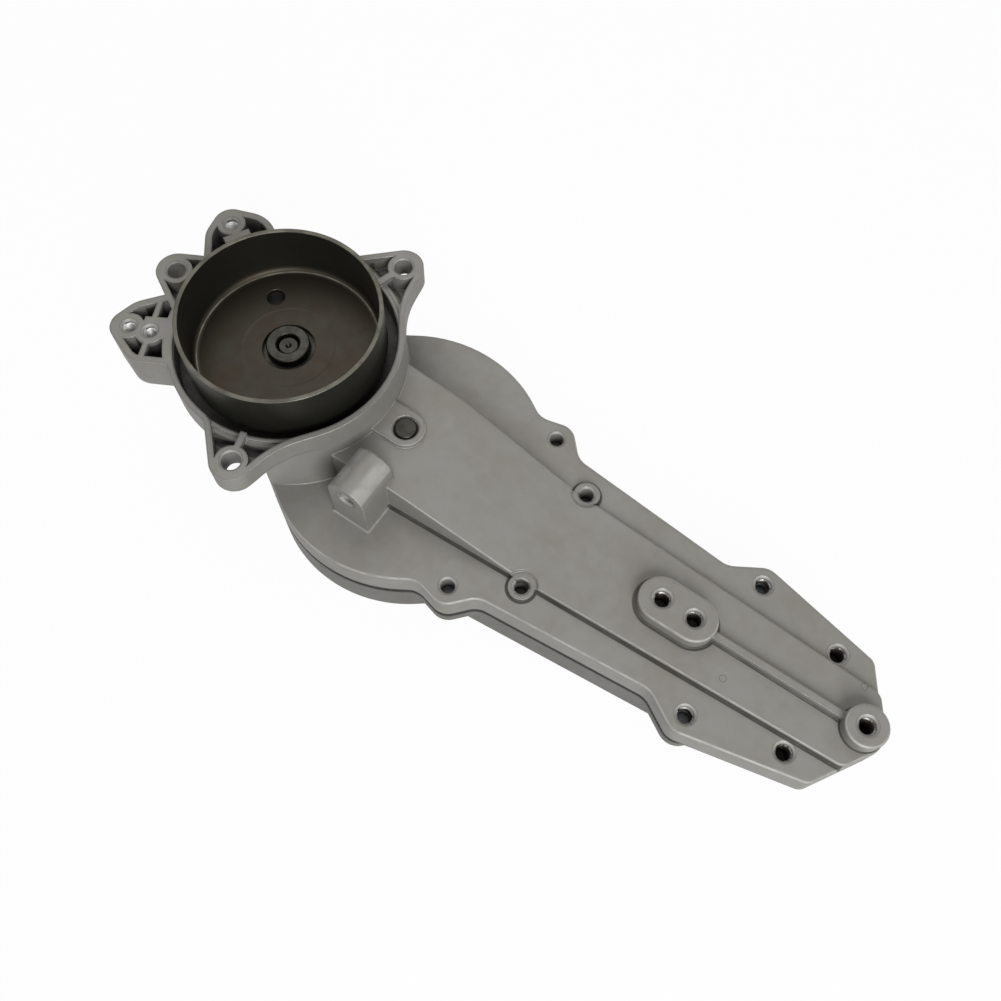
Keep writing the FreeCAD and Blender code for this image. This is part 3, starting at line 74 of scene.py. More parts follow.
# Hollows of the housing darkened with painted shade: heights, and radii and half angles about
# the clutch's axis
SHADE_TOP = -0.0030
BOWL_BOTTOM = -0.0122
EAR_BOTTOM = -0.0145
LUG_BOTTOM = -0.0090
POCKET_START = 0.0474
EAR_END = 0.0590
LUG_END = 0.0502
EAR_SECTOR = math.radians(12.0)
LUG_SECTOR = math.radians(14.0)

# Raised parts of the case with painted shade at their feet: heights above the plate, radii of
# the bosses and of the ejector marks, and half the rib's width
PLATE = MOUNTS["blade_side_threads"]["pos_m"][2]
FOOT_OF_WEDGE = 0.0022
FOOT_OF_PILLAR = 0.0016
TOP_OF_WEDGE = (0.0026, 0.0045)
WEDGE_START = 0.050
TWIN_BOSS = 0.0093
TIP_BOSS = 0.0083
PILLAR_BOSS = 0.0053
RIB_HALF = 0.0016
EJECTOR_MARK = 0.0013
EJECTOR_MARKS = ((0.2100, -0.0120), (0.2550, 0.0150))

# Floors that lie lower than this are floors of holes, darkened with painted shade
HOLE_FLOORS = (PLATE - 0.0020, PLATE - 0.0012)

# How far the painted shade of the parting gap reaches above and below the gasket
SHADE_BELOW = 0.0015
SHADE_ABOVE = 0.0008

# The drum: thickness of its floor, height of the corner, and the radii of two rings on the floor,
# a painted highlight on the corner's fillet and a pressed step
DRUM_FLOOR = 0.0034
DRUM_CORNER = 0.003
HIGHLIGHT_RING = (0.0362, 0.0364)
PRESSED_STEP = (0.0178, 0.0188)

# How deep each mount of the record is tapped
THREAD_LENGTHS = {
    "ear_threads": 0.014,
    "ear_second_thread": 0.014,
    "blade_side_threads": 0.0052,
    "blade_end_threads": 0.0100,
    "handle_twin_threads": 0.0100,
    "tip_thread": 0.0180,
    "side_boss_thread": 0.0125,
}

# A thread's ridge: half its foot as a share of the pitch, and its root as a share of the depth
RIDGE_HALF = 0.42
RIDGE_ROOT = 0.2

# The studio. The lamps' places count from the middle of the object
FLOOR_HALF = 3.0
FLOOR_GAP = 0.0001
KEY_PLACE = Vector((-0.32, 0.30, 0.73))
KEY_SIZE = 0.6
KEY_COLOUR = (1.0, 0.99, 0.96)
FILL_PLACE = Vector((0.53, -0.48, 0.5))
FILL_SIZE = 0.5
FILL_COLOUR = (0.97, 0.99, 1.0)
SENSOR_WIDTH = 36.0
CAMERA_PLACE = (0.1914608, -0.1454361, 0.3416025)
CAMERA_RIGHT = (0.82817606, 0.56007949, 0.02086569)
CAMERA_UP = (-0.51576652, 0.74702498, 0.41945033)
CAMERA_BACK = (0.21933833, -0.35814055, 0.90753845)

# Sockets of a Mix node that mixes colours
MIX_SHARE, MIX_FIRST, MIX_SECOND, MIX_RESULT = 0, 6, 7, 2


# Sizes and colours that a user would change
def colour_property(name, description, default):
    return FloatVectorProperty(name=name, description=description, default=default,
                               size=3, min=0.0, max=1.0, subtype="COLOR")


def length_property(name, description, default):
    return FloatProperty(name=name, description=description, default=default,
                         min=0.0, precision=5, unit="LENGTH")


def share_property(name, description, default):
    return FloatProperty(name=name, description=description, default=default,
                         min=0.0, max=1.0, subtype="FACTOR")


class GearboxCastings(bpy.types.PropertyGroup):
    """Finish of the two aluminium castings and of the gasket between them."""
    light: colour_property("Light metal", "Cast surface where the skin is clean",
                           (0.234, 0.227, 0.211))
    dull: colour_property("Dull metal", "Cast surface where the skin is stained",
                          (0.214, 0.203, 0.183))
    # Painted highlight along edges and on slanted faces, partly rubbed wear
    edge: colour_property("Rubbed edge", "Metal along the edges, where the skin is rubbed off",
                          (0.50, 0.495, 0.47))
    # Painted shade: the dark colour of the hollows, the parting gap and the feet of raised parts
    recess_shade: colour_property("Clutch dust", "Film in the housing, in the pockets and down the holes",
                          (0.022, 0.021, 0.017))
    # Near black, darker than rubber: painted shade of the parting gap
    gasket: colour_property("Gasket", "Gasket sheet between the castings", (0.004, 0.004, 0.0035))
    # Painted shade: the cover gets a darker copy of the case's finish, for the shade on its walls
    cover: share_property("Cover", "Brightness of the cover's skin beside the case's", 0.6)
    roughness: share_property("Roughness", "Roughness of the cast skin", 0.5)
    grain: length_property("Grain", "Size of the blasted surface's grain", 0.00045)
    cloud: length_property("Stains", "Size of the stained areas", 0.03)
    edge_width: length_property("Edge width", "How far wear and rounding reach from an edge",
                                0.0010)
    # Radius of the painted shade in the bowl
    bowl: length_property("Bowl", "Radius inside which clutch dust lies", 0.0443)
    # Width of the painted shade at the feet of raised parts
    seam: length_property("Seam", "How far grime reaches from the foot of a raised part", 0.0009)
    wedge: length_property("Wedge half width", "Half the width of the raised wedge at the clutch",
                           0.0273)
    taper: FloatProperty(name="Wedge taper", description="How fast its half narrows to the tip",
                         default=0.0426, precision=4)


class GearboxSteels(bpy.types.PropertyGroup):
    """Finish of the drum, shafts, gears, bearings and small parts."""
    black: colour_property("Blackened steel", "Skin of the clutch drum", (0.032, 0.031, 0.024))
    brown: colour_property("Heat tint", "Tint on the drum's floor", (0.033, 0.0245, 0.017))
    # Painted highlight on the drum's rim, edges and floor ring, partly scuffed bare steel
    scuffed_and_lit: colour_property("Scuffed steel", "Bare steel on the drum's rim and edges",
                             (0.21, 0.20, 0.165))
    dark: colour_property("Oiled steel", "Turned steel with a film of oil", (0.045, 0.043, 0.037))
    bright: colour_property("Ground steel", "Bearing races, balls and pins", (0.55, 0.55, 0.545))
    gear: colour_property("Gear steel", "Hardened gears and rods", (0.33, 0.325, 0.315))
    bronze: colour_property("Bronze", "Sintered bushes", (0.52, 0.34, 0.15))
    zinc: colour_property("Zinc", "Plating on the screws", (0.34, 0.345, 0.35))
    seal: colour_property("Seal", "Rubber of the shaft seal", (0.016, 0.016, 0.016))
    turning: length_property("Turning marks", "Distance between the marks of the tool", 0.00035)


class GearboxThreads(bpy.types.PropertyGroup):
    """Screw threads in the tapped holes."""
    metal: colour_property("Cut metal", "Tapped aluminium", (0.62, 0.615, 0.60))
    # Painted shade on the threads deep in the holes
    oil: colour_property("Old oil", "Oil on the threads, deep in the holes", (0.030, 0.024, 0.019))
    coarse: length_property("Coarse pitch", "Pitch in the holes for blades and handles", 0.00125)
    fine: length_property("Fine pitch", "Pitch in the ears", 0.001)
    depth: length_property("Depth", "How far the ridge stands out of the hole's wall", 0.00045)
    # Length below the mouth at which painted shade starts in the ears' holes
    clean: length_property("Clean length", "How far down the ears' threads are free of oil", 0.006)
    steps: IntProperty(name="Steps", description="Faces round one turn", default=32, min=8, max=96)


class GearboxStudio(bpy.types.PropertyGroup):
    """Floor, lamps and camera."""
    floor: colour_property("Floor", "Colour of the floor", (0.6, 0.6, 0.6))
    whiteness: share_property("Whiteness", "How far the floor is lifted to white as a background",
                              0.97)
    ambient: FloatProperty(name="Ambient", description="Even light from all sides",
                           default=0.28, min=0.0)
    key: FloatProperty(name="Key lamp", description="Power of the soft lamp above",
                       default=1.9, min=0.0, unit="POWER")
    fill: FloatProperty(name="Fill lamp", description="Power of the lamp at the side",
                        default=7.6, min=0.0, unit="POWER")
    lens: FloatProperty(name="Lens", description="Focal length of the camera",
                        default=37.018, min=1.0, unit="CAMERA")


# Shader expressions
class Signal:
    """A number that changes over a surface. Python's operators add Math nodes."""

    def __init__(self, nodes, socket):
        self.nodes = nodes
        self.socket = socket

    def math(self, operation, *values):
        made = self.nodes.node("ShaderNodeMath", {"operation": operation}, values)
        return Signal(self.nodes, made.outputs[0])

    def __add__(self, other):
        return self.math("ADD", self, other)

    def __radd__(self, other):
        return self.math("ADD", other, self)

    def __sub__(self, other):
        return self.math("SUBTRACT", self, other)

    def __rsub__(self, other):
        return self.math("SUBTRACT", other, self)

    def __mul__(self, other):
        return self.math("MULTIPLY", self, other)

    def __rmul__(self, other):
        return self.math("MULTIPLY", other, self)

    def __truediv__(self, other):
        return self.math("DIVIDE", self, other)

    def __rtruediv__(self, other):
        return self.math("DIVIDE", other, self)

    def __abs__(self):
        return self.math("ABSOLUTE", self)

    def at_least(self, other):
        return self.math("MAXIMUM", self, other)

    def at_most(self, other):
        return self.math("MINIMUM", self, other)

    def ripples(self, pitch):
        """A sine wave that repeats at this pitch."""
        return self.math("SINE", self * (math.tau / pitch))

    def above(self, low, high):
        """0 below low, 1 above high, and a smooth step between them."""
        made = self.nodes.node("ShaderNodeMapRange", {"interpolation_type": "SMOOTHSTEP"},
                               {"Value": self, "From Min": low, "From Max": high})
        return Signal(self.nodes, made.outputs[0])

    def below(self, low, high):
        """1 below low, 0 above high, and a smooth step between them."""
        return 1.0 - self.above(low, high)

    def between(self, low, high, soft):
        """1 from low to high and 0 outside, with steps as wide as soft."""
        return self.above(low - soft, low) * self.below(high, high + soft)


def distance(across, along):
    """How far away a point is that lies this far across and this far along."""
    square = across * across + along * along
    return square.math("SQRT", square)


class Nodes:
    """A node tree, filled node by node."""

    def __init__(self, tree):
        self.tree = tree
        tree.nodes.clear()

    def node(self, kind, settings=None, sockets=()):
        """A node of this kind: first its settings, then the values or links of its sockets."""
        made = self.tree.nodes.new(kind)
        for name, value in (settings or {}).items():
            setattr(made, name, value)
        pairs = sockets.items() if isinstance(sockets, dict) else enumerate(sockets)
        for key, value in pairs:
            self.feed(made.inputs[key], value)
        return made

    def feed(self, socket, value):
        """Links or sets one socket. A colour gets its alpha of 1 here."""
        if isinstance(value, Signal):
            self.tree.links.new(value.socket, socket)
        elif isinstance(value, bpy.types.NodeSocket):
            self.tree.links.new(value, socket)
        elif socket.type == "RGBA" and len(value) == 3:
            socket.default_value = (*value, 1.0)
        else:
            socket.default_value = value

    def background_rays(self):
        """1 for rays that show the background, straight or in metal and glass, and 0 for light."""
        rays = self.node("ShaderNodeLightPath").outputs
        seen = Signal(self, rays["Is Camera Ray"])
        return seen.at_least(rays["Is Glossy Ray"]).at_least(rays["Is Transmission Ray"])


class Finish(Nodes):
    """A material. Its textures lie on the object's own coordinates."""

    def __init__(self, name):
        self.material = bpy.data.materials.new(name)
        self.material.use_nodes = True
        super().__init__(self.material.node_tree)
        self.place = self.node("ShaderNodeTexCoord").outputs["Object"]
        axes = self.node("ShaderNodeSeparateXYZ", None, [self.place])
        self.x, self.y, self.z = [Signal(self, socket) for socket in axes.outputs]

    def noise(self, size, detail=2.0, roughness=0.5, stretch=None):
        """Noise with spots of about this size."""
        place = self.place
        if stretch:
            mapped = self.node("ShaderNodeMapping", None, {"Vector": place, "Scale": stretch})
            place = mapped.outputs[0]
        made = self.node("ShaderNodeTexNoise", None, {"Vector": place, "Scale": 1.0 / size,
                                                      "Detail": detail, "Roughness": roughness})
        return Signal(self, made.outputs[0])

    def dot(self, first, second):
        """Dot product of two vectors."""
        made = self.node("ShaderNodeVectorMath", {"operation": "DOT_PRODUCT"}, [first, second])
        return Signal(self, made.outputs["Value"])

    def radius_from(self, x, y):
        """Distance from the upright line through x, y."""
        return distance(self.x - x, self.y - y)

    def sector(self, angle, half_width):
        """1 within half_width of a direction seen from the clutch's axis, 0 outside."""
        along = self.x * math.cos(angle) + self.y * math.sin(angle)
        cosine = along / self.radius_from(0.0, 0.0)
        return cosine.above(math.cos(half_width * 1.08), math.cos(half_width))

    def edges(self, width):
        """Masks of the line along an edge and of the border beside it, and the normal that rounds
        it.
        How far that normal has turned is 0 on a flat face and about 0.3 on a square edge."""
        rounded = self.node("ShaderNodeBevel", {"samples": 6}, {"Radius": width}).outputs[0]
        sharp = self.node("ShaderNodeNewGeometry").outputs["Normal"]
        turned = 1.0 - self.dot(rounded, sharp)
        bare_and_lit = turned.above(0.13, 0.24)
        return bare_and_lit, turned.above(0.004, 0.05) * (1.0 - bare_and_lit), rounded

    def tilt(self):
        """The upward share of the normal: 1 on floors, 0 on walls, between them on round edges."""
        return self.dot(self.node("ShaderNodeNewGeometry").outputs["Normal"], (0.0, 0.0, 1.0))

    def outside_of(self, start, end, y, radius):
        """Distance from the wall of an upright boss, long or round, between two x at a y."""
        nearest = self.x.at_least(start).at_most(end)
        return distance(self.x - nearest, self.y - y) - radius

    def mix(self, share, first, second):
        """A colour that goes from the first to the second as share goes from 0 to 1."""
        made = self.node("ShaderNodeMix", {"data_type": "RGBA"},
                         {MIX_SHARE: share, MIX_FIRST: first, MIX_SECOND: second})
        return made.outputs[MIX_RESULT]

    def bump(self, relief, height, strength, normal=None):
        """A normal tilted by a relief, which stands this high at 1."""
        sockets = {"Strength": strength, "Distance": height, "Height": relief}
        if normal is not None:
            sockets["Normal"] = normal
        return self.node("ShaderNodeBump", None, sockets).outputs[0]

    def surface(self, **sockets):
        """The principled shader with these sockets, joined to the output."""
        named = {name.replace("_", " "): value for name, value in sockets.items()}
        shader = self.node("ShaderNodeBsdfPrincipled", None, named)
        self.node("ShaderNodeOutputMaterial", None, {"Surface": shader.outputs[0]})
        return self.material


# Finishes
def scaled(colour, share):
    return [channel * share for channel in colour]


def shaded_recesses(finish, castings):
    """Painted shade in the hollows: the bowl, the pockets of the flange, and down the holes."""
    radius = finish.radius_from(0.0, 0.0)
    bowl = radius.below(castings.bowl, castings.bowl + 0.0004)
    bowl = bowl * finish.z.between(BOWL_BOTTOM, SHADE_TOP, soft=0.0018)
    ear = MOUNTS["ear_threads"]
    angle = math.atan2(ear["dims"]["spacing_y_mm"] * MILLIMETRE / 2, ear["pos_m"][0])
    ears = finish.sector(angle, EAR_SECTOR) + finish.sector(-angle, EAR_SECTOR)
    ears = ears * radius.between(POCKET_START, EAR_END, soft=0.0005)
    ears = ears * finish.z.between(EAR_BOTTOM, SHADE_TOP, soft=0.0018)
    lugs = sum(finish.sector(math.atan2(mount["pos_m"][1], mount["pos_m"][0]), LUG_SECTOR)
               for name, mount in MOUNTS.items() if name.startswith("engine_bolt_hole"))
    lugs = lugs * radius.between(POCKET_START, LUG_END, soft=0.0004)
    lugs = lugs * finish.z.between(LUG_BOTTOM, SHADE_TOP, soft=0.0004)
    holes = finish.tilt().above(0.5, 0.8) * finish.z.below(*HOLE_FLOORS)
    streaky = 0.82 + 0.36 * (finish.noise(0.004, 3.0, 0.6) - 0.5)
    return (bowl + ears + lugs * 0.75 + holes).at_most(1.0) * streaky


def shaded_feet_and_ejector_marks(finish, castings):
    """Painted shade along the feet of the wedge, the bosses and the rib, and faint ejector rings.
    """
    seam = castings.seam
    twin, tip_x = MOUNTS["handle_twin_threads"], MOUNTS["tip_thread"]["pos_m"][0]
    half_gap = twin["dims"]["spacing_x_mm"] * MILLIMETRE / 2
    start, end = twin["pos_m"][0] - half_gap, twin["pos_m"][0] + half_gap
    aside = abs(finish.y)
    on_plate = finish.z.between(PLATE - seam, PLATE + FOOT_OF_WEDGE, soft=0.0006)
    on_wedge = finish.z.between(*[PLATE + height for height in TOP_OF_WEDGE], soft=0.0006)
    near_pillar = finish.z.between(PLATE - seam, PLATE + FOOT_OF_PILLAR, soft=0.0006)
    wedge = aside - castings.wedge + finish.x * castings.taper
    wedge = wedge.between(-seam, seam, soft=seam / 2)
    wedge = wedge * finish.x.between(WEDGE_START, tip_x, soft=0.001)
    twin_boss = finish.outside_of(start, end, 0.0, TWIN_BOSS)
    twin_boss = twin_boss.between(-seam, seam * 1.4, soft=seam / 2)
    tip_boss = finish.outside_of(tip_x, tip_x, 0.0, TIP_BOSS)
    tip_boss = tip_boss.between(-seam, seam / 3, soft=seam / 3)
    rib = aside.between(RIB_HALF - 0.0003, RIB_HALF + seam, soft=seam / 3)
    rib = rib * finish.x.between(end, tip_x, soft=0.001)
    feet = wedge * on_plate + (twin_boss + rib) * on_wedge + tip_boss * (on_plate + on_wedge)
    low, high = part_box("pillar_screws")
    middle, head = (low.x + high.x) / 2, (high.x - low.x) / 2
    for y in (low.y + head, high.y - head):
        pillar = finish.outside_of(middle, middle, y, PILLAR_BOSS)
        feet = feet + pillar.between(0.0, 0.0010, soft=0.0003) * near_pillar
    for x, y in EJECTOR_MARKS:
        ring = finish.outside_of(x, x, y, EJECTOR_MARK)
        feet = feet + ring.between(-0.0001, 0.0001, soft=0.0002) * 0.4
    return feet.at_most(1.0) * (0.8 + 0.4 * (finish.noise(0.01) - 0.3))


def parting_gap_shade(finish):
    """Painted shade along the gap between the castings, as far along as the cover reaches."""
    low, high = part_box("cover_gasket")
    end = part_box("bottom_cover")[1].x
    shade_band = finish.z.between(low.z - SHADE_BELOW, high.z + SHADE_ABOVE, soft=0.0002)
    return shade_band * finish.x.below(end - 0.0005, end)


def cast_aluminium(name, castings, shade, painted_shade=False):
    """Blasted die-cast aluminium: fine grain, faint stains, small pits, painted highlights on
    edges and slanted faces, partly rubbed wear, a painted dark border beside edges, and painted
    shade along the parting gap. The case also gets painted shade at the feet of raised parts and
    in its hollows."""
    finish = Finish(name)
    clouds = finish.noise(castings.cloud, 3.0, 0.55) * 0.6 + finish.noise(castings.cloud / 5) * 0.4
    stain = clouds.above(0.36, 0.64)
    skin = finish.mix(stain, scaled(castings.light, shade), scaled(castings.dull, shade))
    specks = finish.noise(castings.grain * 2.4, 2.0, 0.7).above(0.60, 0.80)
    skin = finish.mix(specks * 0.25, skin, scaled(castings.dull, 0.55))
    bare_and_lit, shaded_border, rounded = finish.edges(castings.edge_width)
    # Painted shade: a dark border beside each edge
    shaded_border = shaded_border * (0.35 + 0.5 * finish.noise(0.008))
    skin = finish.mix(shaded_border, skin, scaled(castings.dull, 0.2))
    # Painted highlight on slanted faces, such as fillets and chamfers
    rounding = finish.tilt().between(0.45, 0.88, soft=0.10)
    worn_and_lit = 0.35 + 0.65 * finish.noise(0.006, 2.0, 0.6).above(0.3, 0.6)
    # Painted highlight along edges, partly rubbed wear, in patches
    rubbed_and_lit = bare_and_lit.at_least(rounding * 0.4) * worn_and_lit
    skin = finish.mix(rubbed_and_lit, skin, castings.edge)
    # Painted shade along the parting gap
    skin = finish.mix(parting_gap_shade(finish) * 0.95, skin, castings.recess_shade)
    if painted_shade:
        # Painted shade along the feet of raised parts, with faint dark rings of ejector marks
        crease_shade = scaled(castings.recess_shade, 1.4)
        skin = finish.mix(shaded_feet_and_ejector_marks(finish, castings) * 0.95, skin, crease_shade)
        # Painted shade in the bowl, the pockets and the holes
        skin = finish.mix(shaded_recesses(finish, castings), skin, castings.recess_shade)
    grain = finish.noise(castings.grain, 2.0, 0.6)
    orange_peel = finish.noise(castings.grain * 9, 2.0, 0.5)
    pits = finish.noise(castings.grain * 5, 0.0).above(0.80, 0.88)
    relief = grain * 0.5 + orange_peel * 0.9 - pits * 1.2
    normal = finish.bump(relief, 0.00005, 0.8, rounded)
    patches = 0.14 * (finish.noise(0.004) - 0.5)
    roughness = castings.roughness + patches + 0.04 * stain - 0.12 * rubbed_and_lit
    return finish.surface(Base_Color=skin, Metallic=0.2, Roughness=roughness,
                          Specular_IOR_Level=0.2, Normal=normal)


def blackened_steel(name, steels):
    """Oil-blackened pressed steel of the drum, with a brown heat tint on the floor, scratches,
    and painted highlights on the rim, the edges and a ring round the floor, partly scuffed wear."""
    finish = Finish(name)
    low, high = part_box("clutch_drum")
    radius = finish.radius_from(0.0, 0.0)
    floor = low.z + DRUM_FLOOR
    on_floor = finish.z.below(floor, floor + DRUM_CORNER)
    mottle = finish.noise(0.012, 3.0, 0.6).above(0.3, 0.7)
    tinted = finish.mix(on_floor * (0.35 + 0.65 * mottle), steels.black, steels.brown)
    worn_and_lit, _, rounded = finish.edges(0.0006)
    scratched = finish.noise(0.0009, 2.0, 0.6, stretch=(1.0, 1.0, 0.15)).above(0.68, 0.78) * 0.10
    # Painted highlight on the rim, the edges and a ring in the floor's corner, partly scuffed wear
    rim = finish.z.above(high.z - 0.0006, high.z - 0.0002)
    ring = radius.between(*HIGHLIGHT_RING, soft=0.0003) * on_floor
    patchy = 0.45 + 0.55 * finish.noise(0.009, 2.0, 0.6).above(0.35, 0.65)
    bare_and_lit = (worn_and_lit * 0.7 + rim * 0.4 + ring * 0.75) * patchy + scratched
    colour = finish.mix(bare_and_lit.at_most(1.0), tinted, steels.scuffed_and_lit)
    rings = radius.ripples(0.0011) * on_floor
    laps = finish.z.ripples(0.0008) * (1.0 - on_floor)
    step = radius.above(*PRESSED_STEP) * on_floor
    relief = rings * 0.2 + laps * 0.2 + step * 6.0 + finish.noise(0.0004) * 0.6
    normal = finish.bump(relief, 0.00002, 0.8, rounded)
    roughness = 0.46 + 0.16 * (finish.noise(0.006, 3.0, 0.6) - 0.5) - 0.1 * worn_and_lit
    return finish.surface(Base_Color=colour, Metallic=0.8, Roughness=roughness, Normal=normal)


def turned_steel(name, base, pitch, roughness, x=0.0, oil=None):
    """Machined steel with the tool's rings about an upright axis at this x, and small scratches.
    Where the oil height is given, the part above it is darkened with painted shade."""
    finish = Finish(name)
    worn_and_lit, _, rounded = finish.edges(0.0005)
    mottle = finish.noise(0.003, 3.0, 0.6)
    colour = finish.mix(mottle.above(0.3, 0.7), base, scaled(base, 0.72))
    polished = [min(1.0, channel * 1.6 + 0.1) for channel in base]
    # Lighter along edges: painted highlight, partly polished wear
    colour = finish.mix(worn_and_lit * 0.3, colour, polished)
    if oil is not None:
        # Painted shade above the given height
        colour = finish.mix(finish.z.above(oil - 0.001, oil) * 0.9, colour, scaled(base, 0.08))
    relief = finish.radius_from(x, 0.0).ripples(pitch) * 0.4 + finish.noise(0.0003) * 0.6
    normal = finish.bump(relief, 0.00001, 0.7, rounded)
    roughness = roughness + 0.15 * (mottle - 0.5)
    return finish.surface(Base_Color=colour, Metallic=1.0, Roughness=roughness, Normal=normal)


def bronze(name, base):
    """Sintered bronze: a dull, finely porous metal."""
    finish = Finish(name)
    pores = finish.noise(0.00035, 2.0, 0.7).above(0.55, 0.75)
    colour = finish.mix(pores * 0.6, base, scaled(base, 0.4))
    normal = finish.bump(1.0 - pores, 0.00004, 0.6)
    roughness = 0.38 + 0.2 * pores
    return finish.surface(Base_Color=colour, Metallic=1.0, Roughness=roughness, Normal=normal)


def rubber(name, base):
    """Matt moulded rubber or gasket sheet with a fine nap."""
    finish = Finish(name)
    nap = finish.noise(0.0004, 2.0, 0.6)
    patches = finish.noise(0.008, 2.0, 0.5).above(0.3, 0.7)
    colour = finish.mix(patches, base, scaled(base, 1.8))
    normal = finish.bump(nap, 0.00006, 0.7)
    return finish.surface(Base_Color=colour, Roughness=0.7 + 0.2 * (nap - 0.5), Normal=normal)


def cut_aluminium(name, threads, mouth, axis, clean):
    """Tapped aluminium: bright near the mouth, with painted shade below a given length and in
    patches.
    """
    finish = Finish(name)
    from_mouth = finish.node("ShaderNodeVectorMath", {"operation": "SUBTRACT"},
                             [finish.place, mouth]).outputs[0]
    deep = finish.dot(from_mouth, -axis)
    streaks = finish.noise(0.0006, 2.0, 0.6)
    patches = finish.noise(0.0022, 2.0, 0.6).above(0.40, 0.60)
    # Painted shade deep in the hole, and in patches above it
    deep_shade = (deep.above(clean - 0.0004, clean + 0.0028) + patches * 0.45).at_most(1.0)
    colour = finish.mix(deep_shade, threads.metal, threads.oil)
    normal = finish.bump(streaks, 0.00005, 0.8)
    roughness = 0.3 + 0.25 * streaks
    return finish.surface(Base_Color=colour, Metallic=0.9, Roughness=roughness, Normal=normal)


def paint(material, *nodes):
    """Gives the CAD nodes this material."""
    for node in nodes:
        slots = frame["nodes"][node].material_slots
        if not slots:
            raise RuntimeError("the node " + node + " has no material slot")
        for slot in slots:
            slot.material = material


# Modelling
def linked(context, name, data):
    """A new object of the scene that holds this mesh, lamp or camera."""
    made = bpy.data.objects.new(name, data)
    context.collection.objects.link(made)
    return made


def as_mesh(made, name):
    """A finished bmesh as a mesh."""
    mesh = bpy.data.meshes.new(name)
    made.to_mesh(mesh)
    made.free()
    return mesh


def thread_mesh(name, radius, length, pitch, depth, steps):
    """A helical ridge on the inside of a hole that starts at the origin and goes down."""
    half = pitch * RIDGE_HALF
    sunk = radius + depth * RIDGE_ROOT
    corners = [(sunk, 0.0, -2 * half), (radius - depth, 0.0, -half), (sunk, 0.0, 0.0)]
    made = bmesh.new()
    ring = [made.verts.new(corner) for corner in corners]
    loop = [made.edges.new(pair) for pair in zip(ring, ring[1:] + ring[:1])]
    turns = max(1.0, (length - 2 * half) / pitch)
    count = round(turns * steps)
    bmesh.ops.spin(made, geom=ring + loop, cent=(0.0, 0.0, 0.0), axis=(0.0, 0.0, 1.0),
                   dvec=(0.0, 0.0, -pitch / steps), angle=math.tau * count / steps, steps=count)
    rim = [edge for edge in made.edges if edge.is_boundary]
    bmesh.ops.holes_fill(made, edges=rim, sides=len(corners))
    bmesh.ops.recalc_face_normals(made, faces=made.faces)
    return as_mesh(made, name)


def tapped_places(mount):
    """Where a mount of the record has its tapped holes: their mouths, radius and axis."""
    dims = mount["dims"]
    centre = Vector(mount["pos_m"])
    axis = Vector(mount["axis"])
    if mount["kind"] == "threaded_hole":
        mouth = centre + axis * dims["length_mm"] * MILLIMETRE / 2
        return [mouth], dims["r_mm"] * MILLIMETRE, axis
    reach = Vector((dims.get("spacing_x_mm", 0.0), dims.get("spacing_y_mm", 0.0), 0.0))
    reach = reach * MILLIMETRE / 2
    return [centre - reach, centre + reach], dims["hole_r_mm"] * MILLIMETRE, axis


class GEARBOX_OT_castings(bpy.types.Operator):
    """Gives the case, the cover and the gasket between them their finishes"""
    bl_idname = "gearbox.castings"
    bl_label = "Castings and gasket"

    def execute(self, context):
        castings = context.scene.gearbox_castings
        paint(cast_aluminium("Cast aluminium, case", castings, 1.0, painted_shade=True), "gear_case")
        # Painted shade: the cover is a darker copy of the case's cast aluminium
        paint(cast_aluminium("Cast aluminium, cover", castings, castings.cover), "bottom_cover")
        # The gasket's near-black colour is painted shade of the parting gap
        paint(rubber("Gasket sheet", castings.gasket), "cover_gasket")
        return {"FINISHED"}


class GEARBOX_OT_clutch(bpy.types.Operator):
    """Gives the clutch drum, its hub, the pinion shaft and the circlip their finishes"""
    bl_idname = "gearbox.clutch"
    bl_label = "Clutch drum and shaft"

    def execute(self, context):
        steels = context.scene.gearbox_steels
        paint(blackened_steel("Blackened steel, drum", steels), "clutch_drum")
        dark = turned_steel("Oiled steel, turned", steels.dark, steels.turning, 0.42)
        paint(dark, "drum_hub", "pinion_shaft", "bearing_circlip")
        return {"FINISHED"}


class GEARBOX_OT_drive(bpy.types.Operator):
    """Gives the crank, its axle and the connecting rods their finishes"""
    bl_idname = "gearbox.drive"
    bl_label = "Crank and rods"

    def execute(self, context):
        steels = context.scene.gearbox_steels
        low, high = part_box("crank_axle")
        x = (low.x + high.x) / 2
        gear = turned_steel("Gear steel, hardened", steels.gear, steels.turning, 0.34, x)
        paint(gear, "crank_gear", "cam_hub", "upper_rod", "lower_rod")
        axle = turned_steel("Oiled steel, axle", steels.dark, steels.turning, 0.45, x)
        paint(axle, "crank_axle")
        bushes = bronze("Sintered bronze", steels.bronze)
        paint(bushes, "axle_bush", "upper_rod_bush", "lower_rod_bush")
        return {"FINISHED"}


class GEARBOX_OT_bearings(bpy.types.Operator):
    """Gives the ball bearings, pins, washers, screws and the shaft seal their finishes"""
    bl_idname = "gearbox.bearings"
    bl_label = "Bearings and small parts"

    def execute(self, context):
        steels = context.scene.gearbox_steels
        ground = turned_steel("Ground steel", steels.bright, steels.turning / 2, 0.2)
        races = [place + "_bearing_" + part for place in ("upper", "lower")
                 for part in ("outer_race", "inner_race", "balls", "cage")]
        paint(ground, *races, "crank_pins", "cover_dowels", "upper_thrust_washer",
              "lower_thrust_washer")
        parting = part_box("cover_gasket")[1].z
        # The screws' ends above the parting sit in the case's holes and get painted shade
        zinc = turned_steel("Zinc-plated steel", steels.zinc, steels.turning, 0.4, oil=parting)
        paint(zinc, "cover_screws", "pillar_screws")
        paint(rubber("Seal rubber", steels.seal), "shaft_seal")
        return {"FINISHED"}


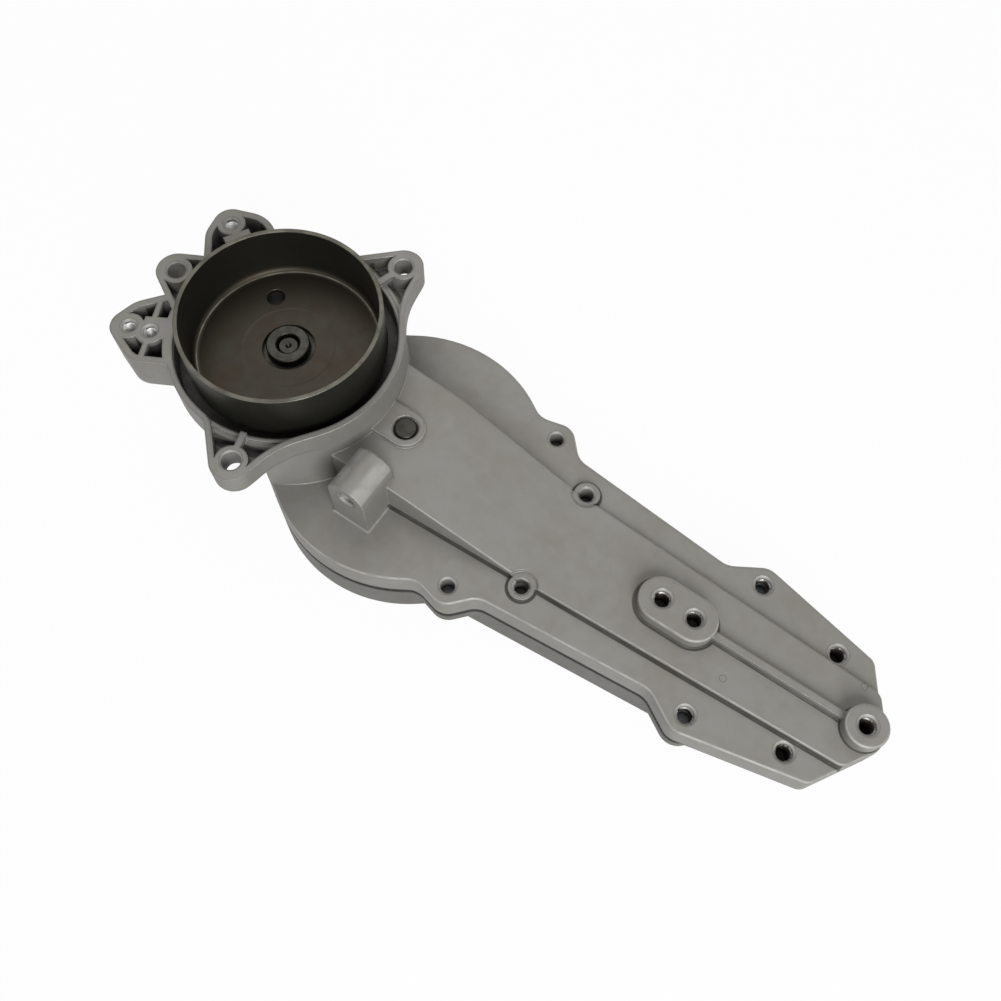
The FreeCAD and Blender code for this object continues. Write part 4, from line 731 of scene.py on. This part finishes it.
class GEARBOX_OT_threads(bpy.types.Operator):
    """Puts the ridge of a screw thread into each tapped hole of the case"""
    bl_idname = "gearbox.threads"
    bl_label = "Screw threads"

    def execute(self, context):
        threads = context.scene.gearbox_threads
        for name, length in THREAD_LENGTHS.items():
            mouths, radius, axis = tapped_places(MOUNTS[name])
            # Painted shade on the threads starts at the mouth, in the ears below the clean length
            pitch, clean = threads.coarse, 0.0
            if name.startswith("ear"):
                pitch, clean = threads.fine, threads.clean
            metal = cut_aluminium("Cut aluminium, " + name, threads, mouths[0], axis, clean)
            upright = axis.to_track_quat("Z", "Y").to_matrix().to_4x4()
            for number, mouth in enumerate(mouths, start=1):
                mesh = thread_mesh(name, radius, length, pitch, threads.depth, threads.steps)
                mesh.transform(Matrix.Translation(mouth) @ upright)
                mesh.materials.append(metal)
                ridge = linked(context, name + "_" + str(number), mesh)
                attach(ridge, "case")
        return {"FINISHED"}


# Stage
def area_lamp(context, name, place, target, size, power, colour):
    """A square soft lamp that looks at a point."""
    lamp = bpy.data.lights.new(name, "AREA")
    lamp.size = size
    lamp.energy = power
    lamp.color = colour
    made = linked(context, name, lamp)
    made.location = place
    made.rotation_euler = (target - place).to_track_quat("-Z", "Y").to_euler()


def floor_material(colour, whiteness):
    """Pale floor, lifted to white as a background, with a trace of the object's shadow on it."""
    finish = Finish("Studio floor")
    pale = finish.node("ShaderNodeBsdfPrincipled", None, {"Base Color": colour, "Roughness": 0.8})
    white = finish.node("ShaderNodeEmission", None, {"Color": (1.0, 1.0, 1.0), "Strength": 1.0})
    share = finish.background_rays() * whiteness
    shader = finish.node("ShaderNodeMixShader", None, [share, pale.outputs[0], white.outputs[0]])
    finish.node("ShaderNodeOutputMaterial", None, {"Surface": shader.outputs[0]})
    return finish.material


def studio_floor(context, middle, height, material):
    """A level square sheet under the object."""
    made = bmesh.new()
    bmesh.ops.create_grid(made, x_segments=2, y_segments=2, size=FLOOR_HALF)
    bmesh.ops.translate(made, verts=made.verts, vec=(middle.x, middle.y, height))
    mesh = as_mesh(made, "studio_floor")
    mesh.materials.append(material)
    linked(context, "studio_floor", mesh)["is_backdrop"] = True


def studio_world(context, ambient):
    """White as a background, and a dimmer even light on the object."""
    world = bpy.data.worlds.new("Studio")
    world.use_nodes = True
    nodes = Nodes(world.node_tree)
    strength = nodes.background_rays() * (1.0 - ambient) + ambient
    background = nodes.node("ShaderNodeBackground", None,
                            {"Color": (1.0, 1.0, 1.0), "Strength": strength})
    nodes.node("ShaderNodeOutputWorld", None, {"Surface": background.outputs[0]})
    context.scene.world = world


def photograph_camera(context, lens):
    """The photograph's own viewpoint."""
    camera = bpy.data.cameras.new("Camera")
    camera.lens = lens
    camera.sensor_width = SENSOR_WIDTH
    camera.clip_start = 0.01
    made = linked(context, "Camera", camera)
    turned = Matrix((CAMERA_RIGHT, CAMERA_UP, CAMERA_BACK)).transposed().to_4x4()
    made.matrix_world = Matrix.Translation(CAMERA_PLACE) @ turned
    context.scene.camera = made


class GEARBOX_OT_stage(bpy.types.Operator):
    """Sets out the pale floor, the soft lamps and the camera"""
    bl_idname = "gearbox.stage"
    bl_label = "Studio"

    def execute(self, context):
        studio = context.scene.gearbox_studio
        low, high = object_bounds()
        middle = (low + high) / 2
        pale = floor_material(studio.floor, studio.whiteness)
        studio_floor(context, middle, low.z - FLOOR_GAP, pale)
        studio_world(context, studio.ambient)
        area_lamp(context, "Key lamp", middle + KEY_PLACE, middle, KEY_SIZE, studio.key,
                  KEY_COLOUR)
        area_lamp(context, "Fill lamp", middle + FILL_PLACE, middle, FILL_SIZE, studio.fill,
                  FILL_COLOUR)
        photograph_camera(context, studio.lens)
        context.scene.view_settings.view_transform = "Standard"
        return {"FINISHED"}


class GEARBOX_PT_panel(bpy.types.Panel):
    """Lists the steps that dress the gearbox, with their sizes and colours"""
    bl_idname = "GEARBOX_PT_panel"
    bl_label = "Gearbox"
    bl_space_type = "VIEW_3D"
    bl_region_type = "UI"
    bl_category = "Gearbox"

    def draw(self, context):
        for group, (_, operators) in STEPS.items():
            box = self.layout.box()
            values = getattr(context.scene, group)
            for name in values.bl_rna.properties.keys():
                if name not in ("rna_type", "name"):
                    box.prop(values, name)
            for operator in operators:
                box.operator(operator.bl_idname)


# Each group of values, and the operators that use it
STEPS = {
    "gearbox_castings": (GearboxCastings, (GEARBOX_OT_castings,)),
    "gearbox_steels": (GearboxSteels, (GEARBOX_OT_clutch, GEARBOX_OT_drive, GEARBOX_OT_bearings)),
    "gearbox_threads": (GearboxThreads, (GEARBOX_OT_threads,)),
    "gearbox_studio": (GearboxStudio, (GEARBOX_OT_stage,)),
}


def register():
    for name, (group, operators) in STEPS.items():
        bpy.utils.register_class(group)
        setattr(bpy.types.Scene, name, PointerProperty(type=group))
        for operator in operators:
            bpy.utils.register_class(operator)
    bpy.utils.register_class(GEARBOX_PT_panel)


def unregister():
    bpy.utils.unregister_class(GEARBOX_PT_panel)
    for name, (group, operators) in reversed(STEPS.items()):
        for operator in reversed(operators):
            bpy.utils.unregister_class(operator)
        delattr(bpy.types.Scene, name)
        bpy.utils.unregister_class(group)


def main():
    register()
    bpy.ops.gearbox.castings()
    bpy.ops.gearbox.clutch()
    bpy.ops.gearbox.drive()
    bpy.ops.gearbox.bearings()
    bpy.ops.gearbox.threads()
    bpy.ops.gearbox.stage()


if __name__ == "__main__":
    main()
